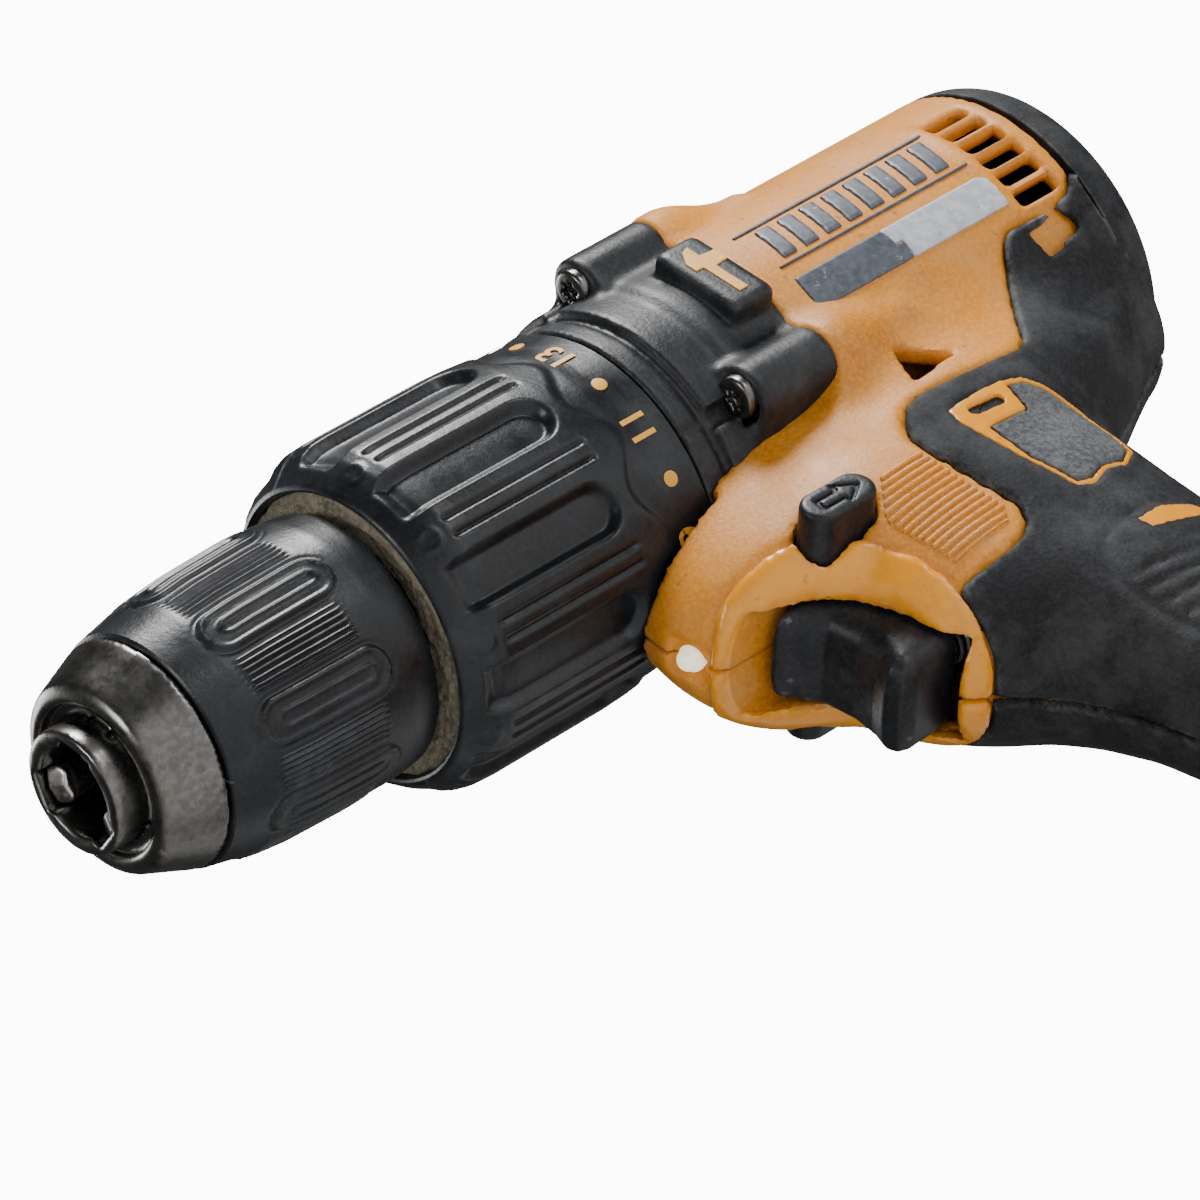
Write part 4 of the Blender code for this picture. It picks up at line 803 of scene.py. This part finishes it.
def sleevePiece():
    n, spec = sleeve["columns"], sleeve
    outer = np.array([(-37.6, 17.3), (-37.3, 17.75), (-31.0, 19.0), (-24.0, 19.7), (-14.0, 20.0), (-6.0, 20.0),
                      (-1.4, 19.5), (-1.0, 19.0)])
    stations = np.concatenate([[-37.6, -37.5, -37.3, -37.0], np.arange(-36.6, -1.5, spec["row"]), [-1.3, -1.05, -1.0]])
    base = np.interp(stations, outer[:, 0], outer[:, 1])
    angle = around(n)
    pitch = 360.0 / spec["panels"]
    turn = np.degrees(angle) - spec["phase"]
    across = np.radians((turn + pitch / 2) % pitch - pitch / 2)[None, :] * 19.4
    beside = np.radians((turn % pitch) - pitch / 2)[None, :] * 19.4
    s = stations[:, None]
    radii = base[:, None] * np.ones((1, n))
    reach = np.maximum(np.maximum(spec["from"] + spec["outline"] - s, s - spec["to"] + spec["outline"]), 0.0)
    away = np.hypot(across, reach) - spec["outline"]
    radii += 0.45 * crease(away + 0.1, 0.38) + 0.18 * smoothStep(-away, 0.0, 0.5)
    radii -= 0.18 * crease(away - 0.75, 0.35)
    inner = np.hypot(across, np.maximum(np.maximum(-27.0 - s, s + 12.5), 0.0)) - 1.05
    radii += 0.32 * crease(inner, 0.28)
    panel = smoothStep(2.9 - np.abs(beside), 0.0, 0.25) * smoothStep(s, -30.2, -29.4) * smoothStep(s, -11.0, -11.8)
    radii += panel * spec["ribHigh"] * (np.cos(beside * 2 * np.pi / spec["ribPitch"]) * 0.6 + 0.2)
    inner = rounded([(-1.0, 14.6), (-8.2, 14.6), (-8.2, 16.9), (-33.0, 16.9), (-36.0, 13.1), (-37.6, 13.1)], 0.4, 2)
    radii = np.concatenate([radii, inner[:, 1][:, None] * np.ones((1, n))])
    points, faces = closedRing(radii, np.concatenate([stations, inner[:, 0]]), n)
    addPiece("visual_sleeve", points, faces, shades["clutchPlastic"], body="chuck_sleeve", node="chuck_sleeve",
             slot="soft_grip", smooth=45.0)


# Chuck: a bored steel nose, and three jaws that lean in towards its mouth.
bore = 6.7
nose = {"mouth": -51.2, "front": -47.2, "rear": -37.9, "ringR": 9.4, "recessR": 11.4, "recessTo": -45.4, "coreR": 12.2}
jaw = {"tilt": 14.0, "tip": -49.5, "out": 6.16, "r": 2.85, "flat": 1.5, "face": 4.35, "length": 21.6,
       "wayOut": 6.2, "wayR": 3.15, "wayFlat": 1.75}


def noseField(x, s, l):
    # the chuck's steel nose, cut for the three jaws
    r = np.hypot(x, l)
    cone = np.interp(s, [nose["front"], -46.4, -38.6, nose["rear"]], [13.6, 14.3, 17.3, 17.3])
    outer = softMax(r - cone, nose["front"] - s, 1.6)
    ring = softMax(softMax(r - nose["ringR"], nose["mouth"] - s, 0.9), bore - r, 0.9)
    recess = np.maximum(r - nose["recessR"], s - nose["recessTo"])
    outer = softMax(outer, -recess, 0.8)
    solid = np.minimum(outer, ring)
    core = np.maximum(r - nose["coreR"], -44.0 - s)
    solid = np.minimum(np.maximum(solid, s - nose["rear"]), np.maximum(core, s - 1.8))
    solid = softMax(solid, -np.maximum(r - bore, s + 18.0), 0.5)
    rear = np.maximum(r - 6.3, -15.0 - s)
    return np.maximum(solid, -rear)


def jawAngle(number):
    low, high = nodeBox(f"chuck_jaw_{number}")
    return np.arctan2(low[2] + high[2], low[0] + high[0])


def alongJaw(x, s, l, angle, axisOut):
    # out from the spindle, across the jaw, and then off and along its leaning axis
    out = x * np.cos(angle) + l * np.sin(angle)
    side = -x * np.sin(angle) + l * np.cos(angle)
    tilt = np.radians(jaw["tilt"])
    lift = (out - axisOut) * np.cos(tilt) - (s - jaw["tip"]) * np.sin(tilt)
    along = (out - axisOut) * np.sin(tilt) + (s - jaw["tip"]) * np.cos(tilt)
    return out, side, lift, along


def chuckNose():
    angles = [jawAngle(number) for number in (1, 2, 3)]

    def field(x, s, l):
        value = noseField(x, s, l)
        for angle in angles:
            out, side, lift, _ = alongJaw(x, s, l, angle, jaw["wayOut"])
            way = np.maximum(np.maximum(np.hypot(side, lift) - jaw["wayR"], lift - jaw["wayFlat"]), -out)
            value = softMax(value, -way, 0.4)
        return value

    netPiece("visual_chuck", field, ((-18.0, -51.6, -18.0), (18.0, 2.2, 18.0)), 0.5, shades["darkSteel"],
             body="output_spindle", node="chuck_body", slot="chuck_steel", smooth=60.0)


def chuckJaws():
    for number in (1, 2, 3):
        name = f"chuck_jaw_{number}"
        low, high = nodeBox(name)
        angle = jawAngle(number)

        def field(x, s, l, angle=angle):
            out, side, lift, along = alongJaw(x, s, l, angle, jaw["out"])
            bar = softMax(np.maximum(np.hypot(side, lift) - jaw["r"], lift - jaw["flat"]), jaw["face"] - out, 0.3)
            teeth = 0.22 * np.abs(((s / 1.4) % 1.0) - 0.5) * (np.abs(out - jaw["face"]) < 0.8)
            tip = -along + 0.1 + 0.5 * np.abs(side) * 0.6
            return softMax(softMax(bar + teeth, tip, 0.5), along - jaw["length"], 0.4)

        netPiece("visual_" + name, field, (low - 0.4, high + 0.4), 0.25, shades["brightSteel"], body=name, node=name,
                 slot="steel", smooth=40.0)


def dustRing():
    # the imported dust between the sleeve's rear end and the collar
    n = 360
    profile = dense(rounded([(21.7, 1.2), (21.7, 3.6), (15.2, 3.6), (15.2, 1.6)], 0.5, 3), 0.5)
    angle = around(n)
    radii, s = (np.repeat(profile[:, [column]], n, 1) for column in (0, 1))
    rough = sum(np.sin(angle * k + k * k)[None, :] * np.sin(radii * (0.7 + k * 0.13) + k) for k in (7, 13, 22, 31, 53))
    s = s + 0.12 * rough * (s < 2.4)
    points, faces = closedRing(radii, s, n)
    addPiece("dust_ring", points, faces, shades["khakiDust"], body="clutch_collar", smooth=60.0)


# Gear case: a stepped ring with four screw bosses, and a raised pad on its left side.
case = {"r": 25.3, "front": 47.8, "rear": 73.3, "inside": 23.6, "insideFrom": 50.5, "neckR": 14.0,
        "stepR": 26.3, "stepFrom": 52.6, "shoulderR": 27.0, "shoulderFrom": 60.4, "grooveR": 25.5, "grooveAt": 52.2}
casePad = {"level": -0.2, "half": 8.4, "at": 69.0, "reach": 4.0, "x": 26.5, "high": 3.2}


def caseField(x, s, l):
    r = np.hypot(x, l)
    ring = softMax(softMax(r - case["r"], case["front"] - s, 0.6), s - case["rear"], 0.6)
    step = softMax(softMax(r - case["stepR"], case["stepFrom"] - s, 1.4), s - case["rear"], 0.6)
    shoulder = softMax(softMax(r - case["shoulderR"], case["shoulderFrom"] - s, 2.0), s - case["rear"], 0.6)
    value = softMin(softMin(ring, step, 0.8), shoulder, 1.2)
    groove = np.hypot(r - case["grooveR"], s - case["grooveAt"]) - 0.7
    value = softMax(value, -groove, 0.5)
    away = np.hypot(np.abs(x) - boss["x"], np.abs(l) - boss["l"])
    lug = softMax(softMax(away - boss["r"], boss["front"] - s, 1.2), s - case["rear"], 0.8)
    value = softMin(value, lug, 2.4)
    pad = softMax(np.abs(l - casePad["level"]) - casePad["half"], np.abs(s - casePad["at"]) - casePad["reach"], 1.4)
    pad = softMax(pad, np.abs(np.abs(x) - casePad["x"]) - casePad["high"], 1.4)
    value = softMin(value, np.where(x > 0, pad, 40.0), 1.0)
    seat = np.maximum(away - boss["seatR"], np.abs(s - boss["front"] - 0.4) - 1.5)
    value = softMax(value, -seat, 0.3)
    value = np.maximum(value, -(away - boss["screwR"]))
    value = np.maximum(value, -np.maximum(r - case["inside"], case["insideFrom"] - s))
    value = np.maximum(value, -(r - case["neckR"]))
    # the lower body's front comes up against the case from below
    body = underField(x, s, l) + 0.4
    return np.maximum(value, -np.where((l < -18.5) & (r > 25.2), body, 9.0))


def gearCase():
    netPiece("visual_gear_case", caseField, ((-31.0, 47.0, -28.0), (31.0, 74.0, 28.0)), 0.5, shades["blackPlastic"],
             node="gear_case", slot="black_plastic", smooth=50.0)


def caseScrews():
    for number in (1, 2, 3, 4):
        name = f"gear_case_screw_{number}"
        low, high = nodeBox(name)
        cx, front, cl = (low[0] + high[0]) / 2, low[1], (low[2] + high[2]) / 2

        def field(x, s, l, cx=cx, cl=cl, front=front):
            away = np.hypot(x - cx, l - cl)
            turn = np.arctan2(l - cl, x - cx)
            head = softMax(softMax(away - 3.25, front - s + 0.15 * (away / 3.0) ** 2, 0.7), s - front - 2.4, 0.2)
            star = away - 1.45 - 0.28 * np.cos(6 * turn)
            head = np.maximum(head, -np.maximum(star, s - front - 1.5))
            return np.minimum(head, np.maximum(away - 1.55, np.abs(s - front - 9.0) - 8.0))

        netPiece("visual_" + name, field, ((cx - 3.6, front - 0.3, cl - 3.6), (cx + 3.6, front + 17.2, cl + 3.6)), 0.2,
                 shades["darkSteel"], node=name, slot="dark_steel", smooth=50.0)


def rearCap():
    n = 300
    outer = [(27.55, 129.75), (27.5, 131.0), (27.2, 133.0), (26.2, 135.4), (24.0, 137.4), (20.0, 138.9), (14.0, 139.7),
             (7.0, 139.95), (0.6, 140.0)]
    inner = [(0.6, 137.6), (14.0, 137.2), (20.0, 136.4), (23.0, 134.4), (24.2, 131.0), (24.3, 127.0), (23.6, 124.6),
             (21.8, 124.6), (24.6, 129.75)]
    profile = np.array([*rounded(outer, 1.2, 3), *inner[:6], (24.4, 129.75)])
    profile = dense(profile, 0.8)
    radii, s = (np.repeat(profile[:, [column]], n, 1) for column in (0, 1))
    angle = around(n)
    s = s - 0.35 * crease(radii - 21.5, 0.5) * (s > 137)
    raised = smoothStep(np.abs(np.sin(angle))[None, :], 0.2, 0.35) * smoothStep(radii, 12.0, 15.0) * (s > 138)
    s = s - 0.25 * raised
    points, faces = closedRing(radii, s, n)
    addPiece("visual_rear_cap", points, faces, shades["softRubber"], node="rear_cap", slot="soft_grip", smooth=40.0)


triggerShape = [(39.6, -40.9), (43.0, -44.0), (45.6, -47.8), (46.4, -53.0), (45.8, -57.8), (44.9, -60.4), (45.6, -62.2),
                (47.4, -62.8), (51.0, -62.2), (57.4, -60.8), (57.4, -40.9)]


trigger = {"half": 8.6, "top": -41.9, "rear": 56.6, "stemLevel": -55.0, "stemR": 2.2, "stemAt": 57.2,
           "stemReach": 8.8, "boreR": 4.4, "boreFrom": 48.8}


def triggerField(x, s, l):
    # the front is fuller in the middle and falls away to the sides
    side = polygonField(triggerShape, s, l)
    front = side - 0.9 + 1.3 * (np.abs(x) / trigger["half"]) ** 3 * smoothStep(s, 55.0, 46.0)
    value = softMax(front, np.abs(x) - trigger["half"], 3.0)
    value = softMax(softMax(value, l - trigger["top"], 1.6), s - trigger["rear"], 0.8)
    # the stem stands in a bore that takes the spring when the trigger is pulled
    away = np.hypot(x, l - trigger["stemLevel"])
    value = np.maximum(value, -np.maximum(away - trigger["boreR"], trigger["boreFrom"] - s))
    stem = np.maximum(away - trigger["stemR"], np.abs(s - trigger["stemAt"]) - trigger["stemReach"])
    return np.minimum(value, stem)


def leverField(x, s, l):
    pill = pillField(s, l, lever)
    ends = softMax(pill, np.maximum(x - lever["left"], -x - lever["right"]), 1.1)
    room = np.maximum(np.abs(x) - 13.5, l - lever["bar"])
    value = np.maximum(ends, -room)
    middle, level = lever["at"]
    u, v = s - middle, l - level
    shape = [(-3.4, -1.0), (0.6, -1.0), (0.6, -2.1), (3.9, 0.0), (0.6, 2.1), (0.6, 1.0), (-3.4, 1.0)]
    line = np.abs(polygonField(shape, u, v)) - 0.28
    return softMax(value, -np.maximum(line, 21.8 - x), 0.15)


selectorBox = nodeBox("speed_selector")


def selectorField(x, s, l):
    low, high = selectorBox
    mid = (low + high) / 2
    half = (high - low) / 2
    value = softMax(softMax(np.abs(x - mid[0]) - half[0], np.abs(s - mid[1]) - half[1], 1.4),
                    np.abs(l - mid[2]) - half[2] + 0.5, 0.8)
    ridges = fromLines(s - mid[1], 2.2)
    return value - 0.45 * smoothStep(0.8 - ridges, 0.0, 0.5) * (l > mid[2])


def controls():
    netPiece("visual_trigger", triggerField, ((-8.8, 37.6, -64.6), (8.8, 66.4, -41.4)), 0.36, shades["blackPlastic"],
             body="trigger", node="trigger", slot="black_plastic", smooth=50.0)
    netPiece("visual_lever", leverField, ((-18.2, 46.0, -45.0), (22.6, 59.2, -37.8)), 0.3, shades["blackPlastic"],
             body="direction_lever", node="direction_lever", slot="black_plastic", smooth=50.0)
    netPiece("visual_selector", selectorField, (selectorBox[0], selectorBox[1] + (0, 0, 0.4)), 0.35,
             shades["blackPlastic"], body="speed_selector", node="speed_selector", slot="black_plastic", smooth=45.0)


def onBarrel(x, l):
    # the angle round the axis turned into millimetres along the barrel's surface, and height over it
    return np.arctan2(l, x) * shell["barrel"], np.hypot(x, l) - shell["barrel"]


def patch(name, outline, low, high, shade, box, step=0.3, corner=0.3):
    def field(x, s, l):
        arc, height = onBarrel(x, l)
        return softMax(polygonField(outline, s, arc), np.maximum(height - high, low - height), corner)
    return netPiece(name, field, box, step, shades[shade], smooth=45.0)


def arcOf(degrees):
    return np.radians(degrees) * shell["barrel"]


# Marks on the barrel: a two-tone plate, and slanted bars between two lines. Heights are in degrees.
row = {"count": 8, "from": 80.4, "pitch": 4.4, "width": 2.9, "low": -5.8, "high": 9.2, "lean": 1.0}


def slanted(start, width, low, high, lean):
    return [(start, arcOf(low)), (start + width, arcOf(low)), (start + width + lean, arcOf(high)),
            (start + lean, arcOf(high))]


def barrelMarks():
    side = ((20.0, 76.0, -14.0), (29.4, 119.0, 8.5))
    split = [(95.8, arcOf(-13.6)), (96.2, arcOf(-20)), (97.6, arcOf(-20)), (97.4, arcOf(-26.6))]
    dark = [(78.6, arcOf(-13.6)), *split, (79.6, arcOf(-26.6)), (78.2, arcOf(-24.4))]
    light = [split[0], (115.4, arcOf(-13.6)), (117.2, arcOf(-16.0)), (117.2, arcOf(-26.6)), *split[:0:-1]]
    patch("label_dark", dark, -0.4, 0.28, "labelDark", side)
    patch("label_light", light, -0.4, 0.30, "labelLight", side)
    bars = [slanted(row["from"] + i * row["pitch"], row["width"], row["low"], row["high"], row["lean"])
            for i in range(row["count"])]
    lines = [slanted(78.4, 38.2, low, low + 1.2, 0.0) for low in (10.8, -8.8)]

    def field(x, s, l):
        arc, height = onBarrel(x, l)
        flat = 1e3
        for outline in bars + lines:
            flat = np.minimum(flat, polygonField(outline, s, arc))
        return softMax(flat, np.maximum(height - 0.38, -0.4 - height), 0.3)

    netPiece("name_bars", field, side, 0.3, shades["labelDark"], smooth=45.0)


def flankPiece(name, flat, low, high, box, step, shade):
    # a thin piece that follows the flank of the lower body, given by a field in side view
    def field(x, s, l):
        height = openBody(x, s, l)
        side = flat(s, l)
        return softMax(side, np.maximum(height - high, low - height), 0.25)
    return netPiece(name, field, box, step, shades[shade], smooth=50.0)


def flankDetails():
    def ribs(s, l):
        lean = l + (s - 64.0) * 0.02
        near = fromLines(lean + 40.9, 1.16)
        return softMax(near - 0.36, polygonField(grille, s, l), 0.1)

    def border(s, l):
        ring = np.maximum(polygonField(padOuter, s, l), -(polygonField(padInner, s, l) + 0.15))
        return np.maximum(ring, -pillField(s, l, {"at": (84.8, -39.0), "reach": 2.4, "radius": 0.95}))

    def inner(s, l):
        return polygonField(padInner, s, l) + 0.35

    def strip(s, l):
        return polygonField(lowStrip, s, l)

    padBox = ((9.0, 77.8, -60.0), (22.0, 101.0, -35.6))
    parts = (("grille_", ribs, -0.5, 0.42, ((12.0, 57.0, -58.0), (22.0, 72.6, -39.0)), 0.24, "yellowShell"),
             ("pad_border_", border, -0.9, 0.38, padBox, 0.35, "yellowGloss"),
             ("pad_", inner, -0.9, 0.36, padBox, 0.35, "padRubber"),
             ("strip_", strip, -0.5, 0.62, ((9.0, 85.0, -73.0), (18.0, 99.0, -66.0)), 0.3, "yellowGloss"))
    for sign, word in ((1, "left"), (-1, "right")):
        for name, flat, low, high, box, step, shade in parts:
            flankPiece(name + word, flat, low, high, box if sign > 0 else flipBox(box), step, shade)


def workLight():
    low, high = nodeBox("work_light_lens")
    mid = (low + high) / 2 + (0.0, 1.6, 0.0)

    def field(x, s, l):
        bulb = np.hypot(np.hypot(x, l - mid[2]), s - mid[1] + 0.2) - 1.7
        base = softMax(np.hypot(x, l - mid[2]) - 2.1, np.abs(s - mid[1] - 1.2) - 1.4, 0.5)
        return softMin(bulb, base, 0.5)
    netPiece("visual_lens", field, ((-3.4, mid[1] - 3.0, mid[2] - 3.4), (3.4, mid[1] + 3.0, mid[2] + 3.4)), 0.2,
             shades["lamp"], node="work_light_lens", slot="lens", smooth=50.0)


def hammerMark():
    shape = [(66.6, 1.0), (66.6, 3.2), (68.2, 5.6), (69.6, 6.0), (69.6, 3.4), (72.2, 3.2), (72.2, 0.4), (69.8, 0.2),
             (69.8, -6.2), (68.0, -6.2), (68.0, 1.0)]

    def field(x, s, l):
        return softMax(polygonField(shape, s, l), np.abs(x - 29.7) - 0.22, 0.15)
    netPiece("pad_mark", field, ((29.2, 66.0, -7.0), (30.2, 73.0, 7.0)), 0.2, shades["dialYellow"], smooth=40.0)


# The pack: two shells with a shadow gap, side grips, and a blank plate.
pack = {"half": 37.5, "front": 36.0, "rear": 148.0, "top": -131.6, "split": -146.0, "base": -170.0, "corner": 9.0}


def packPlan(x, s, inset=0.0):
    half, corner = pack["half"] - inset, pack["corner"]
    front, rear = s - (pack["front"] + inset), (pack["rear"] - inset) - s
    sides = softMax(softMax(np.abs(x) - half, -front, 3.0), -rear, 3.0)
    cut = (np.abs(x) - (half - corner) - front) / 1.4142
    back = (np.abs(x) - (half - corner / 2) - rear) / 1.4142
    return softMax(softMax(sides, cut, 2.0), back, 2.0)


def packShell(x, s, l, low, high, roomLow, roomHigh):
    value = softMax(packPlan(x, s), np.maximum(l - high, low - l), 2.6)
    ribs = fromLines(s, 4.2)
    hold = smoothStep(np.abs(s - 100.0), 20.0, 18.5) * smoothStep(np.abs(l + 157.0), 6.4, 5.2)
    value = value + 0.5 * hold * smoothStep(1.15 - ribs, 0.0, 0.5) * smoothStep(np.abs(x), 33.0, 35.5)
    line = np.abs(packPlan(x, s) + 0.1)
    value = value + 0.5 * crease(l + 166.2, 0.5) * (line < 3.0)
    plate = softMax(np.abs(s - 100.0) - 27.0, np.abs(l + 138.6) - 3.6, 1.0)
    value = value + 0.45 * smoothStep(-plate, 0.0, 0.4) * smoothStep(np.abs(x), 33.0, 35.5)
    room = np.maximum(packPlan(x, s, 2.2), np.maximum(l - roomHigh, roomLow - l))
    return np.maximum(value, -room)


def battery():
    p = pack
    gap, wall, lap = 0.15, 2.2, 9.0

    def lower(x, s, l):
        return packShell(x, s, l, p["base"], p["split"] - gap, p["base"] + wall, p["split"] + lap)

    def upper(x, s, l):
        value = packShell(x, s, l, p["split"] + gap, p["top"], p["split"] - lap, p["top"] - wall)
        tower = softMax(np.abs(x) - 17.0, np.abs(s - 96.5) - 37.5, 0.8)
        tower = softMax(tower, np.maximum(l + 127.0, -133.6 - l), 0.8)
        value = np.minimum(value, tower)
        value = np.maximum(value, -np.maximum(np.abs(x) - 14.0, np.maximum(80.0 - s, -139.5 - l)))
        latchRoom = softMax(np.abs(x) - 13.0, np.maximum(np.abs(l + 139.25) - 4.75, s - 45.0), 0.8)
        return softMax(value, -latchRoom, 0.8)

    for word, field, low, high in (("lower", lower, -171.0, -145.0), ("upper", upper, -147.0, -126.0)):
        netPiece("visual_battery_" + word, field, ((-38.0, 35.0, low), (38.0, 149.0, high)), 0.8,
                 shades["packPlastic"], body="battery_pack", node=f"battery_{word}_case", slot="black_plastic",
                 smooth=45.0)

    def latch(x, s, l):
        plate = softMax(softMax(np.abs(x) - 12.4, np.abs(l + 139.25) - 3.95, 1.6), np.abs(s - 39.6) - 3.0, 1.0)
        ridges = fromLines(l, 1.7)
        grip = smoothStep(0.55 - ridges, 0.0, 0.3) * smoothStep(np.abs(x), 9.8, 9.2) * (s < 38.5)
        return np.maximum(plate + 0.35 * grip, -np.maximum(np.hypot(x, l + 139.2) - 2.9, 38.8 - s))
    netPiece("visual_latch", latch, ((-12.6, 36.2, -143.4), (12.6, 42.8, -135.1)), 0.4, shades["blackPlastic"],
             body="battery_latch", node="battery_latch", slot="black_plastic", smooth=45.0)
    for sign, word in ((1, "left"), (-1, "right")):
        def plate(x, s, l, sign=sign):
            flat = softMax(np.abs(s - 100.0) - 26.0, np.abs(l + 138.6) - 2.8, 0.8)
            return softMax(flat, np.abs(sign * x - 37.0) - 0.35, 0.2)
        box = ((36.4, 73.0, -142.0), (37.6, 127.0, -135.0))
        netPiece("pack_plate_" + word, plate, box if sign > 0 else flipBox(box), 0.3, shades["labelDark"],
                 body="battery_pack", smooth=45.0)


collarPiece()
dialMarks()
hammerMark()
battery()
sleevePiece()
chuckNose()
chuckJaws()
dustRing()
gearCase()
caseScrews()
rearCap()
controls()
barrelMarks()
flankDetails()
workLight()
print("details done")


# Finishes for the CAD nodes that stay as they are.
slotOf = {node: entry["slot"] for entry in frame["record"]["materials"] for node in entry.get("nodes", [])}
for made in list(bpy.data.objects):
    wanted = slotShades.get(slotOf.get(made.name))
    if made.type == "MESH" and wanted and "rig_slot" not in made:
        if not made.material_slots:
            continue
        for place in made.material_slots:
            place.link = "OBJECT"
            place.material = shades[wanted]
print("cad finishes", len(slotOf))

studio = {
    "camera": {"from": (0.7835, -0.6715, -0.6981), "right": (0.0384, 0.7169, -0.6961),
               "up": (0.7798, 0.4141, 0.4695), "lens": 270.0},
    "sky": 0.07,
    "lamps": [
        # direction, distance, size, watts
        ((0.62, 0.30, 0.72), 0.75, 0.30, 10.5),
        ((0.30, -0.92, 0.25), 0.80, 0.16, 1.6),
        ((0.95, 0.25, -0.15), 0.85, 0.22, 2.4),
        ((-0.45, -0.30, 0.85), 0.90, 0.40, 3.0),
    ],
}


def aim(made, place, target):
    made.matrix_world = (Matrix.Translation(place)
                         @ (Vector(place) - Vector(target)).to_track_quat("Z", "Y").to_matrix().to_4x4())


def addCamera():
    spec = studio["camera"]
    data = bpy.data.cameras.new("camera")
    data.lens = spec["lens"]
    data.sensor_width = 36.0
    data.clip_start = 0.01
    made = bpy.data.objects.new("camera", data)
    right = Vector(spec["right"]).normalized()
    up = Vector(spec["up"])
    up = (up - right * up.dot(right)).normalized()
    turn = Matrix((right, up, right.cross(up))).transposed().to_4x4()
    made.matrix_world = Matrix.Translation(Vector((0.0, rimY, axisZ)) + Vector(spec["from"])) @ turn
    bpy.context.scene.collection.objects.link(made)
    bpy.context.scene.camera = made


def addLamps():
    target = Vector((0.0, 0.0, axisZ - 0.02))
    for number, (direction, distance, size, watts) in enumerate(studio["lamps"]):
        data = bpy.data.lights.new(f"lamp_{number}", "AREA")
        data.shape = "DISK"
        data.size = size
        data.energy = watts
        made = bpy.data.objects.new(f"lamp_{number}", data)
        aim(made, target + Vector(direction).normalized() * distance, target)
        bpy.context.scene.collection.objects.link(made)


def addSky():
    world = bpy.data.worlds.new("studio")
    bpy.context.scene.world = world
    world.use_nodes = True
    tree = world.node_tree
    back = tree.nodes["Background"]
    back.inputs["Color"].default_value = (1.0, 1.0, 1.0, 1.0)
    path = tree.nodes.new("ShaderNodeLightPath")
    strength = tree.nodes.new("ShaderNodeMix")
    strength.inputs["A"].default_value = studio["sky"]
    strength.inputs["B"].default_value = 12.0
    tree.links.new(path.outputs["Is Camera Ray"], strength.inputs["Factor"])
    tree.links.new(strength.outputs["Result"], back.inputs["Strength"])


def addFloor():
    # seen from above it is a pale floor; from below it lets the view and the light through
    made, tree, shader = startMaterial("paleFloor")
    source = tree.nodes.new("ShaderNodeTexCoord").outputs["Object"]
    tree.links.new(rampOf(tree, noiseIn(tree, source, 3.0), [(0.2, (0.80, 0.80, 0.80)), (0.8, (0.84, 0.84, 0.84))]),
                   shader.inputs["Base Color"])
    shader.inputs["Roughness"].default_value = 0.9
    clear = tree.nodes.new("ShaderNodeBsdfTransparent")
    choose = tree.nodes.new("ShaderNodeMixShader")
    side = tree.nodes.new("ShaderNodeNewGeometry")
    output = tree.nodes["Material Output"]
    tree.links.new(side.outputs["Backfacing"], choose.inputs["Fac"])
    tree.links.new(shader.outputs["BSDF"], choose.inputs[1])
    tree.links.new(clear.outputs["BSDF"], choose.inputs[2])
    tree.links.new(choose.outputs["Shader"], output.inputs["Surface"])
    mesh = bpy.data.meshes.new("floor")
    mesh.from_pydata([(-3, -3, 0), (3, -3, 0), (3, 3, 0), (-3, 3, 0)], [], [(0, 1, 2, 3)])
    floor = bpy.data.objects.new("floor", mesh)
    mesh.materials.append(made)
    bpy.context.scene.collection.objects.link(floor)


addCamera()
addLamps()
addSky()
addFloor()
